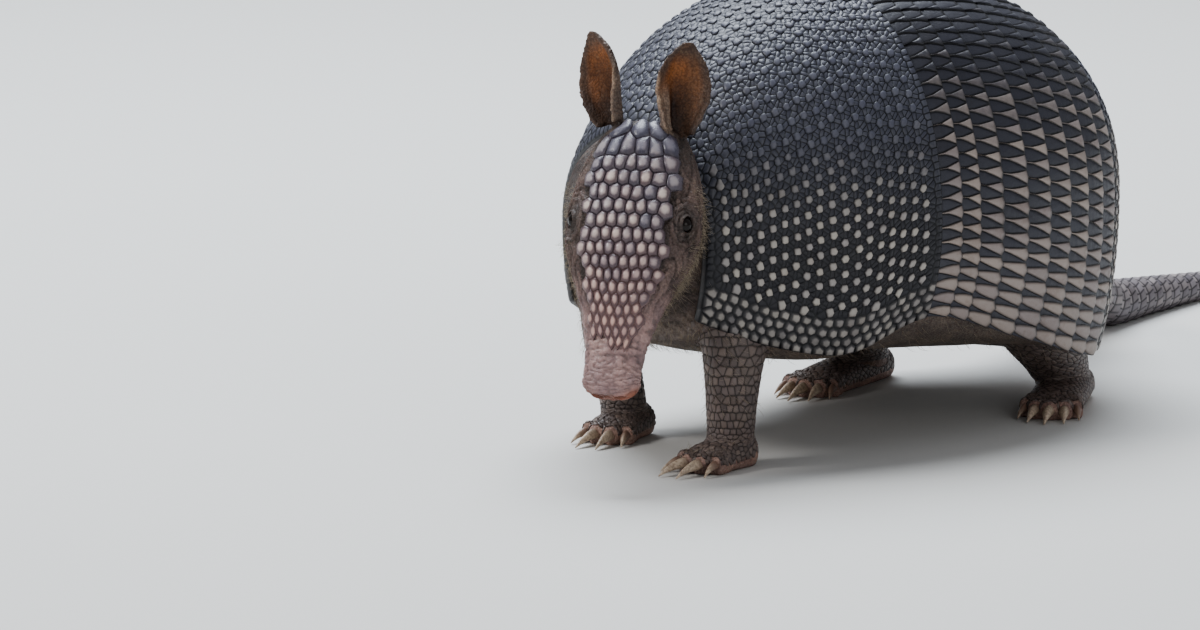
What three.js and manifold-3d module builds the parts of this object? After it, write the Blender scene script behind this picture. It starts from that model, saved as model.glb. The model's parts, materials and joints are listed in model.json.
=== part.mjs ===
// A nine-banded armadillo at life size, standing with its head turned to its left and lowered.
// Millimetres, +Z up. The head points along -Y, the tail along +Y, and the animal's left is +X.
// The origin is on the floor, below the middle of the whole animal.
import * as THREE from 'three';
import Module from 'manifold-3d';
import { mergeVertices } from 'three/addons/utils/BufferGeometryUtils.js';

const wasm = await Module();
wasm.setup();

// ---------- driving dimensions ----------
const DEGREE = Math.PI / 180;
const GAP = 0.3;                    // air between touching pieces
const LONG = 900;                   // longer than anything here

// The spine in plan: straight, then bent to the animal's right inside the bands, then straight.
const FRONT_HEADING = 11 * DEGREE;
const REAR_HEADING = -16 * DEGREE;
const BEND_START = 125;
const BEND_END = 200;

// The shell, by distance along the spine from the front rim over the neck.
const SHIELD_END = 98;
const BAND_COUNT = 9;
const BAND_PITCH = 10.4;
const PELVIS_START = SHIELD_END + BAND_COUNT * BAND_PITCH;
const SHELL_END = 290;
const SHELL_THICKNESS = 3.2;
const BAND_RISE = 1.6;              // how far a band's rear edge stands over the next band
const BAND_LIP = 1.3;               // how far it reaches over it
const LIP_THICKNESS = 1.0;
const RIM_ANGLE = 118 * DEGREE;     // from the top of the back round to the lower rim
const SECTION_POWER = 2.15;         // 2 is an ellipse, more is squarer
const SHELL_STEPS = 14;             // facets from rim to rim
const BELLY_STEPS = 7;              // facets across the belly

// Stations of the body: [distance, half width, top, level of the widest point, rim, belly].
const BODY_STATIONS = [
  [-12, 38, 122, 93, 62, 56],
  [0, 45, 138, 94, 60, 50],
  [28, 61, 169, 95, 49, 42],
  [60, 73, 186, 96, 44, 37],
  [98, 79, 193, 96, 56, 35],
  [120, 80.5, 193, 96, 53, 34],
  [145, 81, 191, 95, 42, 33],
  [192, 79, 179, 93, 25, 32],
  [225, 71, 166, 91, 27, 38],
  [255, 56, 147, 88, 44, 48],
  [276, 38, 122, 85, 56, 56],
  [290, 25, 103, 82, 61, 60],
];

// The head, from the back of the skull to the nose:
// [distance, half width, top, level of the widest point, underside].
const HEAD_BACK = new THREE.Vector3(27, -33.5, 148);
const HEAD_HEADING = 20 * DEGREE;   // turned from straight ahead towards the animal's left
const HEAD_PITCH = 63 * DEGREE;     // nose down
const HEAD_POWER = 2.3;
const HEAD_STATIONS = [
  [0, 12.5, -5, -14, -25],
  [6, 18, -1.5, -13, -31],
  [20, 24.5, 1.5, -13, -35],
  [40, 28.3, 3, -13, -36],
  [54, 27.2, 2.5, -12.5, -33],
  [68, 22, 1, -11, -27.5],
  [80, 17.2, -0.5, -10, -23],
  [96, 13, -2, -9.5, -19],
  [108, 12, -2.5, -9.5, -17],
  [115, 11.6, -3.5, -9.5, -16],
  [117, 9.5, -5, -9.5, -14.5],
];
const HEAD_LENGTH = 117;
const NOSTRIL_OFFSET = 4.4;
const NOSTRIL_RADIUS = 2.1;

// The shield of scutes on the face: [distance, half width].
const FACE_STATIONS = [
  [2, 9], [9, 16], [22, 18.6], [41, 19.4], [57, 17.9], [68, 15.8], [78, 13.2], [90, 11], [99, 6],
];
const FACE_THICKNESS = 1.4;
const FACE_CLEARANCE = 1.2;         // clears the head's facets

const EYE_RADIUS = 4.4;
const EYE_PLACE = { along: 44.5, across: 21.6, up: -6.3 };

// Each ear is a cupped leaf: [share of height, half length round the leaf, half angle of curl].
// Its root is a place on the head, and it leans out to the animal's left and back.
const EAR_THICKNESS = 1.5;
const EAR_STATIONS = [
  [0, 11, 2.1], [0.2, 14, 1.75], [0.45, 15.2, 1.3], [0.7, 12, 1.0], [0.88, 6.6, 0.8], [1, 1, 0.6],
];
const EARS = [
  {
    side: 'left', root: [4.5, 14, -8], height: 38, lean: [0.1, 0.16], opening: 24 * DEGREE,
  },
  {
    side: 'right', root: [0.5, -13, -9], height: 39, lean: [-0.34, 0.12], opening: -22 * DEGREE,
  },
];

// The tail: radius by share of its length, and the height at which it leaves the body.
const TAIL_LENGTH = 345;
const TAIL_BASE_RADIUS = 17;
const TAIL_TIP_RADIUS = 2.4;
const TAIL_BASE_LEVEL = 77;
const TAIL_DROP_SHARE = 0.4;        // the share of its length in which it comes down to the floor
const TAIL_TURN = 11 * DEGREE;
const TAIL_SHARES = [0, 0.22, 0.46, 0.72, 1];
const TAIL_FLAT = 0.9;              // how much of its round is pressed flat on the floor

// Legs, in body places: distance along the spine, distance out to the side, height.
// Each row: [along, out, up, half depth fore and aft, half width].
const LEGS = {
  front_left: {
    side: 1,
    rows: [[30, 32, 84, 20, 15], [24, 36, 60, 17, 13], [18, 40, 36, 12, 10.5], [15, 42, 16, 9.5, 9.5],
      [14, 42, 7, 9.5, 9.5]],
  },
  front_right: {
    side: -1,
    rows: [[28, 32, 84, 20, 15], [22, 36, 60, 15, 12], [25, 39, 36, 11.5, 10.5], [32, 41, 16, 9.5, 9.5],
      [33, 41, 7, 9.5, 9.5]],
  },
  hind_left: {
    side: 1,
    rows: [[196, 38, 84, 34, 16], [188, 46, 56, 33, 17], [190, 49, 34, 30, 16], [205, 50, 17, 20, 12.5],
      [214, 50, 8, 14, 11]],
  },
  hind_right: {
    side: -1,
    rows: [[206, 38, 84, 34, 16], [200, 44, 56, 33, 17], [206, 46, 34, 28, 16], [223, 46, 17, 19, 12.5],
      [232, 46, 8, 14, 11]],
  },
};

// Feet: where the back of the foot is, its length to the roots of the toes, its heading out from
// the body's own, and the toes: [offset across, toe length, toe radius, claw length, fan angle].
const FORE_TOES = [
  [-8, 5, 3.2, 9, -14], [-2.9, 9, 3.9, 14, -4], [3.1, 9, 3.9, 14, 4], [8.2, 5, 3.3, 9, 15],
];
const HIND_TOES = [
  [-10, 4, 3.2, 7, -16], [-5.4, 8, 3.8, 11, -7], [0, 10, 4, 13, 0], [5.4, 8, 3.8, 11, 7],
  [10, 3, 3.2, 7, 17],
];
const FEET = {
  front_left: { along: 17, out: 42, length: 19, half: 11, high: 15, splay: 6, toes: FORE_TOES },
  front_right: { along: 37, out: -41, length: 19, half: 11, high: 15, splay: 20, toes: FORE_TOES },
  hind_left: { along: 226, out: 50, length: 56, half: 12.5, high: 15, splay: 9, toes: HIND_TOES },
  hind_right: { along: 246, out: -46, length: 56, half: 12.5, high: 15, splay: -9, toes: HIND_TOES },
};

// ---------- small helpers ----------

// A smooth curve through stations whose first number is the place and the others the values.
function along(stations, column, place) {
  const last = stations.length - 1;
  let i = 0;
  while (i < last - 1 && place > stations[i + 1][0]) {
    i += 1;
  }
  const slope = (k) => {
    const a = stations[Math.max(k - 1, 0)];
    const b = stations[Math.min(k + 1, last)];
    return (b[column] - a[column]) / (b[0] - a[0]);
  };
  const from = stations[i];
  const to = stations[i + 1];
  const span = to[0] - from[0];
  const t = THREE.MathUtils.clamp((place - from[0]) / span, 0, 1);
  const rise = to[column] - from[column];
  const start = slope(i) * span;
  const end = slope(i + 1) * span;
  return from[column] + start * t + (3 * rise - 2 * start - end) * t * t
    + (start + end - 2 * rise) * t * t * t;
}

function signedPower(value, power) {
  return Math.sign(value) * Math.abs(value) ** power;
}

// Turns a geometry into one closed mesh with shared vertices and its faces pointing out.
function closed(geometry) {
  geometry.deleteAttribute('normal');
  geometry.deleteAttribute('uv');
  const merged = mergeVertices(geometry, 1e-3);
  const kept = [];
  const { array } = merged.index;
  for (let i = 0; i < array.length; i += 3) {
    const [a, b, c] = [array[i], array[i + 1], array[i + 2]];
    if (a !== b && b !== c && c !== a) {
      kept.push(a, b, c);
    }
  }
  merged.setIndex(kept);
  if (volume(merged) < 0) {
    for (let i = 0; i < kept.length; i += 3) {
      [kept[i], kept[i + 1]] = [kept[i + 1], kept[i]];
    }
    merged.setIndex(kept);
  }
  return merged;
}

function volume(geometry) {
  const { position } = geometry.attributes;
  const { array } = geometry.index;
  const corner = (i) => new THREE.Vector3().fromBufferAttribute(position, array[i]);
  let sum = 0;
  for (let i = 0; i < array.length; i += 3) {
    sum += corner(i).dot(corner(i + 1).cross(corner(i + 2)));
  }
  return sum / 6;
}

// Moves every vertex of a geometry to place(x, y, z).
function warp(geometry, place) {
  const { position } = geometry.attributes;
  for (let i = 0; i < position.count; i += 1) {
    const p = place(position.getX(i), position.getY(i), position.getZ(i));
    position.setXYZ(i, p.x, p.y, p.z);
  }
  return closed(geometry);
}

// A closed body lofted through rings: ring(share, angle) gives a point of the ring at a share of
// the length, and middle(share) the centre of its end cap.
function loft(around, steps, ring, middle) {
  const drum = new THREE.CylinderGeometry(1, 1, 1, around, steps);
  return warp(drum, (x, y, z) => {
    const share = THREE.MathUtils.clamp(0.5 - y, 0, 1);
    const reach = Math.hypot(x, z);
    return reach < 0.5 ? middle(share) : ring(share, Math.atan2(x, z));
  });
}

function toManifold(geometry) {
  return new wasm.Manifold(new wasm.Mesh({
    numProp: 3,
    vertProperties: new Float32Array(geometry.attributes.position.array),
    triVerts: new Uint32Array(geometry.index.array),
  }));
}

function fromManifold(solid) {
  const mesh = solid.getMesh();
  const geometry = new THREE.BufferGeometry();
  geometry.setAttribute('position', new THREE.BufferAttribute(mesh.vertProperties, 3));
  geometry.setIndex(new THREE.BufferAttribute(mesh.triVerts, 1));
  return geometry;
}

function cut(geometry, ...tools) {
  let solid = toManifold(geometry);
  for (const tool of tools) {
    solid = solid.subtract(toManifold(tool));
  }
  return fromManifold(solid);
}

function join(...geometries) {
  let solid = toManifold(geometries[0]);
  for (const other of geometries.slice(1)) {
    solid = solid.add(toManifold(other));
  }
  return fromManifold(solid);
}

// ---------- the spine and the body's sections ----------

function spine(distance) {
  const bend = (REAR_HEADING - FRONT_HEADING) / (BEND_END - BEND_START);
  const straight = Math.min(distance, BEND_START);
  let x = straight * Math.sin(FRONT_HEADING);
  let y = straight * Math.cos(FRONT_HEADING);
  let heading = FRONT_HEADING;
  if (distance > BEND_START) {
    const turned = Math.min(distance, BEND_END) - BEND_START;
    heading = FRONT_HEADING + bend * turned;
    x += (Math.cos(FRONT_HEADING) - Math.cos(heading)) / bend;
    y += (Math.sin(heading) - Math.sin(FRONT_HEADING)) / bend;
  }
  if (distance > BEND_END) {
    x += (distance - BEND_END) * Math.sin(REAR_HEADING);
    y += (distance - BEND_END) * Math.cos(REAR_HEADING);
  }
  return { x, y, heading };
}

// The point at a distance along the spine, a distance to the animal's left, and a height.
function bodyPoint(distance, left, height) {
  const s = spine(distance);
  return new THREE.Vector3(
    s.x + left * Math.cos(s.heading),
    s.y - left * Math.sin(s.heading),
    height,
  );
}

const RIM_DROP = -signedPower(Math.cos(RIM_ANGLE), 2 / SECTION_POWER);

// Across the shell: side goes from -1, the right rim, over the back to 1, the left rim.
function archOffsets(distance, lift, side) {
  const angle = side * RIM_ANGLE;
  const halfWidth = along(BODY_STATIONS, 1, distance) + lift;
  const middle = along(BODY_STATIONS, 3, distance);
  const above = along(BODY_STATIONS, 2, distance) - middle + lift;
  const below = (middle - along(BODY_STATIONS, 4, distance)) / RIM_DROP + lift;
  const rise = Math.cos(angle) >= 0 ? above : below;
  return {
    left: halfWidth * signedPower(Math.sin(angle), 2 / SECTION_POWER),
    height: middle + rise * signedPower(Math.cos(angle), 2 / SECTION_POWER),
  };
}

function shellPoint(distance, lift, side) {
  const offsets = archOffsets(distance, lift, side);
  return bodyPoint(distance, offsets.left, offsets.height);
}

function evenly(from, to, count) {
  return Array.from({ length: count + 1 }, (_, i) => from + ((to - from) * i) / count);
}

// The rings at which the trunk and the inside of the shell are both measured, so that they
// stay parallel.
const TRUNK_START = 2;
const TRUNK_END = SHELL_END - 1;
const SHIELD_RINGS = evenly(TRUNK_START, SHIELD_END, 6);
const BAND_RINGS = evenly(SHIELD_END, PELVIS_START, BAND_COUNT);
const PELVIS_RINGS = evenly(PELVIS_START, TRUNK_END, 7);
const TRUNK_RINGS = [...SHIELD_RINGS, ...BAND_RINGS.slice(1), ...PELVIS_RINGS.slice(1)];

// The whole body's surface at a share of the way round: the arch, and then the belly.
const TRUNK_AROUND = SHELL_STEPS + BELLY_STEPS;
const ARCH_SHARE = SHELL_STEPS / TRUNK_AROUND;

function bodyRing(distance, lift, bellyDrop, angle) {
  const share = ((angle / (2 * Math.PI)) + 1) % 1;
  if (share <= ARCH_SHARE) {
    return shellPoint(distance, lift, (share / ARCH_SHARE) * 2 - 1);
  }
  const rim = archOffsets(distance, lift, 1);
  const turn = ((share - ARCH_SHARE) / (1 - ARCH_SHARE)) * Math.PI;
  const belly = along(BODY_STATIONS, 5, distance) - bellyDrop;
  const depth = Math.max(rim.height - belly, 1);
  return bodyPoint(distance, rim.left * Math.cos(turn), rim.height - depth * Math.sin(turn));
}

function bodyLoft(rings, lift, bellyDrop) {
  const place = (share) => rings[Math.round(share * (rings.length - 1))];
  return loft(
    TRUNK_AROUND,
    rings.length - 1,
    (share, angle) => bodyRing(place(share), lift, bellyDrop, angle),
    (share) => bodyPoint(place(share), 0, along(BODY_STATIONS, 3, place(share))),
  );
}

// ---------- shell ----------

// A shell piece is a profile along the back, of distances and lifts, swept from rim to rim.
function shellPiece(profile) {
  const outline = new THREE.Shape(profile.map(([x, y]) => new THREE.Vector2(x, y)));
  const strip = new THREE.ExtrudeGeometry(outline, {
    depth: 1, steps: SHELL_STEPS, bevelEnabled: false,
  });
  return warp(strip, (x, y, z) => shellPoint(x, y, z * 2 - 1));
}

const LIP_GAP = GAP + 0.1;

function scapularShield() {
  const end = SHIELD_END - GAP / 2;
  const outer = SHIELD_RINGS.slice(0, -1).map((x) => [x, 0]);
  const inner = [end, ...SHIELD_RINGS.slice(0, -1).reverse()].map((x) => [x, -SHELL_THICKNESS]);
  return shellPiece([
    [0, -1.4], ...outer, [SHIELD_END + BAND_LIP, BAND_RISE - 0.4],
    [SHIELD_END + BAND_LIP, LIP_GAP], [end, LIP_GAP], ...inner,
  ]);
}

function band(index) {
  const start = SHIELD_END + index * BAND_PITCH;
  const end = start + BAND_PITCH;
  return shellPiece([
    [start + GAP / 2, -SHELL_THICKNESS], [start + GAP / 2, 0],
    [end + BAND_LIP, BAND_RISE], [end + BAND_LIP, BAND_RISE - LIP_THICKNESS],
    [end - GAP / 2, LIP_GAP], [end - GAP / 2, -SHELL_THICKNESS],
  ]);
}

function pelvicShield() {
  const start = PELVIS_START + GAP / 2;
  const places = [start, ...PELVIS_RINGS.slice(1)];
  const outer = places.map((x) => [x, 0]);
  const inner = places.toReversed().map((x) => [x, -SHELL_THICKNESS]);
  return shellPiece([...outer, [SHELL_END, -1.2], ...inner]);
}

// ---------- trunk, neck and tail ----------

function trunk() {
  return bodyLoft(TRUNK_RINGS, -SHELL_THICKNESS - GAP, 0);
}

// Everything the legs may not enter: the shell's outside and the belly, with the gap.
function bodyKeepOut() {
  const overhang = 6;
  const rings = [-overhang, ...TRUNK_RINGS, SHELL_END + overhang];
  return bodyLoft(rings, BAND_RISE + GAP, GAP);
}

// ---------- head ----------

const HEAD_LEFT = new THREE.Vector3(Math.cos(HEAD_HEADING), Math.sin(HEAD_HEADING), 0);
const HEAD_FORWARD = new THREE.Vector3(Math.sin(HEAD_HEADING), -Math.cos(HEAD_HEADING), 0);
const UP = new THREE.Vector3(0, 0, 1);
const HEAD_AXIS = HEAD_FORWARD.clone().multiplyScalar(Math.cos(HEAD_PITCH))
  .addScaledVector(UP, -Math.sin(HEAD_PITCH));
const HEAD_TOP = HEAD_FORWARD.clone().multiplyScalar(Math.sin(HEAD_PITCH))
  .addScaledVector(UP, Math.cos(HEAD_PITCH));

function headPoint(distance, left, up) {
  return HEAD_BACK.clone()
    .addScaledVector(HEAD_AXIS, distance)
    .addScaledVector(HEAD_LEFT, left)
    .addScaledVector(HEAD_TOP, up);
}

function headRing(distance, grow, angle) {
  const middle = along(HEAD_STATIONS, 3, distance);
  const above = along(HEAD_STATIONS, 2, distance) - middle + grow;
  const below = middle - along(HEAD_STATIONS, 4, distance) + grow;
  const halfWidth = along(HEAD_STATIONS, 1, distance) + grow;
  const across = signedPower(Math.sin(angle), 2 / HEAD_POWER);
  const upward = signedPower(Math.cos(angle), 2 / HEAD_POWER);
  return headPoint(distance, halfWidth * across, middle + (upward > 0 ? above : below) * upward);
}

const HEAD_STEPS = 14;
const HEAD_AROUND = 18;

function headSolid(grow) {
  const place = (share) => share * (HEAD_LENGTH + 2 * grow) - grow;
  return loft(
    HEAD_AROUND,
    HEAD_STEPS,
    (share, angle) => headRing(place(share), grow, angle),
    (share) => headPoint(place(share), 0, along(HEAD_STATIONS, 3, place(share))),
  );
}

function ball(radius, centre, around = 10, rows = 7) {
  const sphere = closed(new THREE.SphereGeometry(radius, around, rows));
  return sphere.translate(centre.x, centre.y, centre.z);
}

function eyeCentre(side) {
  return headPoint(EYE_PLACE.along, side * EYE_PLACE.across, EYE_PLACE.up);
}

function head() {
  const tools = [];
  for (const side of [1, -1]) {
    tools.push(ball(EYE_RADIUS + GAP, eyeCentre(side)));
    const nostril = headPoint(HEAD_LENGTH + 0.6, side * NOSTRIL_OFFSET, -9);
    tools.push(ball(NOSTRIL_RADIUS, nostril, 8, 6));
  }
  return cut(headSolid(0), ...tools);
}

// The height of the head's top at a distance out from its middle.
function faceLevel(distance, left) {
  const middle = along(HEAD_STATIONS, 3, distance);
  const above = along(HEAD_STATIONS, 2, distance) - middle;
  const share = Math.min(Math.abs(left) / along(HEAD_STATIONS, 1, distance), 1);
  return middle + above * (1 - share ** HEAD_POWER) ** (1 / HEAD_POWER);
}

function headShield() {
  const [first, last] = [FACE_STATIONS[0][0], FACE_STATIONS.at(-1)[0]];
  const plate = new THREE.BoxGeometry(1, 1, 1, 6, 1, 8);
  return warp(plate, (x, y, z) => {
    const distance = first + (last - first) * (z + 0.5);
    const left = 2 * x * along(FACE_STATIONS, 1, distance);
    const lift = FACE_CLEARANCE + (y + 0.5) * FACE_THICKNESS;
    return headPoint(distance, left, faceLevel(distance, left) + lift);
  });
}

// ---------- ears ----------

function ear({ root: place, height, lean, opening }) {
  const root = headPoint(...place);
  const facing = HEAD_HEADING + opening;
  const front = new THREE.Vector3(Math.sin(facing), -Math.cos(facing), 0);
  const rise = new THREE.Vector3(0, 0, 1).addScaledVector(HEAD_LEFT, lean[0])
    .addScaledVector(HEAD_FORWARD, -lean[1]).normalize();
  const sideways = new THREE.Vector3().crossVectors(rise, front).normalize();
  const outward = new THREE.Vector3().crossVectors(sideways, rise);
  const leaf = new THREE.BoxGeometry(1, 1, 1, 7, 1, 6);
  return warp(leaf, (x, y, z) => {
    const share = z + 0.5;
    const curl = along(EAR_STATIONS, 2, share);
    const radius = along(EAR_STATIONS, 1, share) / curl;
    const angle = 2 * x * curl;
    const skin = radius + y * EAR_THICKNESS;
    return root.clone()
      .addScaledVector(rise, share * height)
      .addScaledVector(sideways, skin * Math.sin(angle))
      .addScaledVector(outward, radius * 0.6 - skin * Math.cos(angle));
  });
}

// ---------- neck ----------

const NECK_ROOT = TRUNK_START - GAP;
const NECK_LEVEL = 92;
const NECK_INSET = SHELL_THICKNESS + 1.5;
const NECK_LIFT = 2;                // how far its underside is above the belly's line
const NECK_WIDE = 23;               // its half width and half height inside the head
const NECK_HIGH = 22;

// Everything behind the plane in which the neck meets the trunk.
function behindNeck() {
  const block = closed(new THREE.BoxGeometry(LONG, LONG, LONG));
  return block.translate(0, LONG / 2 + NECK_ROOT, 0).rotateZ(-FRONT_HEADING);
}

function neck() {
  const rootPlace = NECK_ROOT + 1;
  const from = bodyPoint(rootPlace, 0, NECK_LEVEL);
  const bend = bodyPoint(-16, 4, 98);
  const to = headPoint(24, 0, -22);
  const route = new THREE.QuadraticBezierCurve3(from, bend, to);
  const endAxis = new THREE.Vector3().subVectors(to, bend).normalize();
  const endLeft = new THREE.Vector3().crossVectors(UP, endAxis).normalize();
  const endUp = new THREE.Vector3().crossVectors(endAxis, endLeft);
  return loft(
    14,
    4,
    (share, angle) => {
      const rear = bodyRing(rootPlace, -NECK_INSET, -NECK_LIFT, angle + ARCH_SHARE * Math.PI);
      const round = endLeft.clone().multiplyScalar(NECK_WIDE * Math.sin(angle))
        .addScaledVector(endUp, NECK_HIGH * Math.cos(angle));
      return route.getPoint(share).addScaledVector(rear.sub(from), 1 - share)
        .addScaledVector(round, share);
    },
    (share) => route.getPoint(share),
  );
}

// ---------- tail ----------

function tailRadius(share) {
  return TAIL_TIP_RADIUS + (TAIL_BASE_RADIUS - TAIL_TIP_RADIUS) * (1 - share) ** 1.2;
}

function tailPoint(share) {
  const distance = SHELL_END + share * TAIL_LENGTH * 0.97;
  const sweep = Math.tan(TAIL_TURN) * (distance - SHELL_END) * share;
  const rest = tailRadius(share) - TAIL_FLAT;
  const drop = THREE.MathUtils.smoothstep(share, 0, TAIL_DROP_SHARE);
  const height = THREE.MathUtils.lerp(TAIL_BASE_LEVEL, rest, drop);
  return bodyPoint(distance, sweep, Math.max(height, rest));
}

function tailFrame(share) {
  const step = 0.004;
  const axis = tailPoint(Math.min(share + step, 1)).sub(tailPoint(Math.max(share - step, 0)));
  axis.normalize();
  const left = new THREE.Vector3().crossVectors(UP, axis).normalize();
  return { left, up: new THREE.Vector3().crossVectors(axis, left) };
}

function tailLength(from, to) {
  const inset = GAP / 2 / TAIL_LENGTH;
  const [start, end] = [from + (from === 0 ? 0 : inset), to - inset];
  return loft(
    12,
    4,
    (share, angle) => {
      const place = start + (end - start) * share;
      const { left, up } = tailFrame(place);
      const tip = place > 0.985 ? 0.55 : 1;
      const radius = tailRadius(place) * tip;
      const point = tailPoint(place).addScaledVector(left, radius * Math.sin(angle))
        .addScaledVector(up, radius * Math.cos(angle));
      point.z = Math.max(point.z, 0);
      return point;
    },
    (share) => tailPoint(start + (end - start) * share),
  );
}

// ---------- legs, feet and claws ----------

const ANKLE = 16;                   // height at which a leg ends and its foot begins

// Everything above or below a height.
function halfSpace(height, side) {
  const block = closed(new THREE.BoxGeometry(LONG, LONG, LONG));
  return block.translate(0, 0, height + (side * LONG) / 2);
}

function leg({ side, rows }) {
  const knots = rows.map(([s, a, z]) => bodyPoint(s, side * a, z));
  const route = new THREE.CatmullRomCurve3(knots, false, 'centripetal');
  const share = rows.map((row, i) => [i / (rows.length - 1), row[3], row[4]]);
  const fore = spineForward(rows[0][0]);
  const left = new THREE.Vector3().crossVectors(UP, fore);
  return loft(
    12,
    6,
    (t, angle) => {
      const centre = route.getPoint(t);
      return centre.addScaledVector(fore, along(share, 1, t) * Math.cos(angle))
        .addScaledVector(left, along(share, 2, t) * Math.sin(angle));
    },
    (t) => route.getPoint(t),
  );
}

function spineForward(distance) {
  const { heading } = spine(distance);
  return new THREE.Vector3(-Math.sin(heading), -Math.cos(heading), 0);
}

// The foot's own frame: its heel on the floor, its heading, and its left.
function footFrame({ along: distance, out, splay }) {
  const heel = bodyPoint(distance, out, 0);
  const fore = spineForward(distance).applyAxisAngle(UP, splay * DEGREE);
  return { heel, fore, left: new THREE.Vector3().crossVectors(UP, fore) };
}

function footPoint(frame, forward, left, up) {
  return frame.heel.clone()
    .addScaledVector(frame.fore, forward)
    .addScaledVector(frame.left, left)
    .setZ(Math.max(up, 0));
}

const PAD_MIDDLE = 0.42;            // height of a pad's widest point, as a share of its height
const PAD_POWER = 0.8;

// A rounded limb lying along a direction in the foot's frame, with a flat sole on the floor.
function pad(frame, from, to, halfWidths, heights, around = 8, steps = 3) {
  const middle = (t) => footPoint(
    frame,
    THREE.MathUtils.lerp(from[0], to[0], t),
    THREE.MathUtils.lerp(from[1], to[1], t),
    THREE.MathUtils.lerp(heights[0], heights[1], t) * PAD_MIDDLE,
  );
  return loft(
    around,
    steps,
    (t, angle) => {
      const end = Math.sqrt(Math.max(1 - (2 * t - 1) ** 8, 0.12));
      const half = THREE.MathUtils.lerp(halfWidths[0], halfWidths[1], t) * end;
      const high = THREE.MathUtils.lerp(heights[0], heights[1], t) * (0.5 + 0.5 * end);
      const turned = angle + Math.PI / around;
      const left = half * signedPower(Math.sin(turned), PAD_POWER);
      const up = high * (PAD_MIDDLE + (1 - PAD_MIDDLE) * signedPower(Math.cos(turned), PAD_POWER));
      return middle(t).addScaledVector(frame.left, left).setZ(Math.max(up, 0));
    },
    middle,
  );
}

function toeDirection(toe) {
  const fan = toe[4] * DEGREE;
  return [Math.cos(fan), Math.sin(fan)];
}

function toeEnd(foot, toe) {
  const [ahead, aside] = toeDirection(toe);
  return [foot.length + toe[1] * ahead, toe[0] + toe[1] * aside];
}

function footSolid(foot) {
  const frame = footFrame(foot);
  const pieces = [
    pad(frame, [-8, 0], [foot.length + 2, 0], [foot.half * 0.86, foot.half], [foot.high, 10]),
  ];
  for (const toe of foot.toes) {
    const start = [foot.length - 6, toe[0] * 0.9];
    pieces.push(pad(frame, start, toeEnd(foot, toe), [toe[2], toe[2] * 0.9], [10, 7], 6, 2));
  }
  return join(...pieces);
}

const CLAW_GAP = GAP + 0.1;
const CLAW_SHARE = 0.62;            // a claw's root by its toe's radius
const CLAW_LEVEL = 3.9;             // height of the middle of its root
const CLAW_DROP = 3.2;              // and how much lower its tip is
const CLAW_TAPER = 0.88;

function claw(foot, toe) {
  const frame = footFrame(foot);
  const [ahead, aside] = toeDirection(toe);
  const [x, y] = toeEnd(foot, toe);
  const [, , toeRadius, long] = toe;
  const root = toeRadius * CLAW_SHARE;
  const centre = (t) => footPoint(
    frame,
    x + (CLAW_GAP + t * long) * ahead,
    y + (CLAW_GAP + t * long) * aside,
    CLAW_LEVEL - CLAW_DROP * t * t,
  );
  return loft(
    6,
    2,
    (t, angle) => {
      const size = root * (1 - CLAW_TAPER * t ** 1.3);
      const left = size * Math.sin(angle);
      const up = size * 1.1 * Math.cos(angle);
      const point = centre(t).addScaledVector(frame.left, left * ahead)
        .addScaledVector(frame.fore, -left * aside);
      point.z = Math.max(point.z + up, 0);
      return point;
    },
    centre,
  );
}

// ---------- finishes ----------

function finish(color, roughness) {
  return new THREE.MeshStandardMaterial({ color, roughness, metalness: 0 });
}

const finishes = {
  shell: finish(0x4b5160, 0.55),
  bands: finish(0x6f6a66, 0.55),
  face: finish(0xb3a8a6, 0.5),
  skin: finish(0x7d6b66, 0.75),
  ear: finish(0x5d4436, 0.7),
  eye: finish(0x0b0a0c, 0.08),
  tail: finish(0x6d6a72, 0.6),
  claw: finish(0xb09a86, 0.45),
};

// ---------- assembly ----------

const group = new THREE.Group();

function addPart(name, geometry, material) {
  const mesh = new THREE.Mesh(geometry, material);
  mesh.name = name;
  group.add(mesh);
}

addPart('head', head(), finishes.skin);
addPart('head_shield', headShield(), finishes.face);
for (const [name, side] of [['left', 1], ['right', -1]]) {
  addPart(`eye_${name}`, ball(EYE_RADIUS, eyeCentre(side)), finishes.eye);
}

const headRoom = headSolid(FACE_CLEARANCE + FACE_THICKNESS + GAP);
for (const one of EARS) {
  addPart(`ear_${one.side}`, cut(ear(one), headRoom), finishes.ear);
}

addPart('neck', cut(neck(), headSolid(GAP), behindNeck()), finishes.skin);
addPart('trunk', trunk(), finishes.skin);
addPart('scapular_shield', scapularShield(), finishes.shell);
for (let i = 0; i < BAND_COUNT; i += 1) {
  addPart(`band_${i + 1}`, band(i), finishes.bands);
}
addPart('pelvic_shield', pelvicShield(), finishes.shell);

for (let i = 0; i < TAIL_SHARES.length - 1; i += 1) {
  addPart(`tail_${i + 1}`, tailLength(TAIL_SHARES[i], TAIL_SHARES[i + 1]), finishes.tail);
}

const keepOut = bodyKeepOut();
for (const [name, shape] of Object.entries(LEGS)) {
  const limb = join(leg(shape), footSolid(FEET[name]));
  addPart(`leg_${name}`, cut(limb, keepOut, halfSpace(ANKLE + GAP / 2, -1)), finishes.skin);
  addPart(`foot_${name}`, cut(limb, halfSpace(ANKLE - GAP / 2, 1)), finishes.skin);
  FEET[name].toes.forEach((toe, i) => {
    addPart(`claw_${name}_${i + 1}`, claw(FEET[name], toe), finishes.claw);
  });
}

// The origin goes to the floor, below the middle of the whole.
const box = new THREE.Box3().setFromObject(group);
const centre = box.getCenter(new THREE.Vector3());
group.position.set(-centre.x, -centre.y, -box.min.z);

export default group;
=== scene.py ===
# %% [markdown]
# # A nine-banded armadillo at life size
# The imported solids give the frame: where every part is and how large. This script gives the
# animal its looks: one skin, the plated shell, scutes, claws, eyes and a few bristles.
# Sculpting by hand could do it too, but code is exact, can be rerun and is easy to change.

import json
import math
import random

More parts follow.
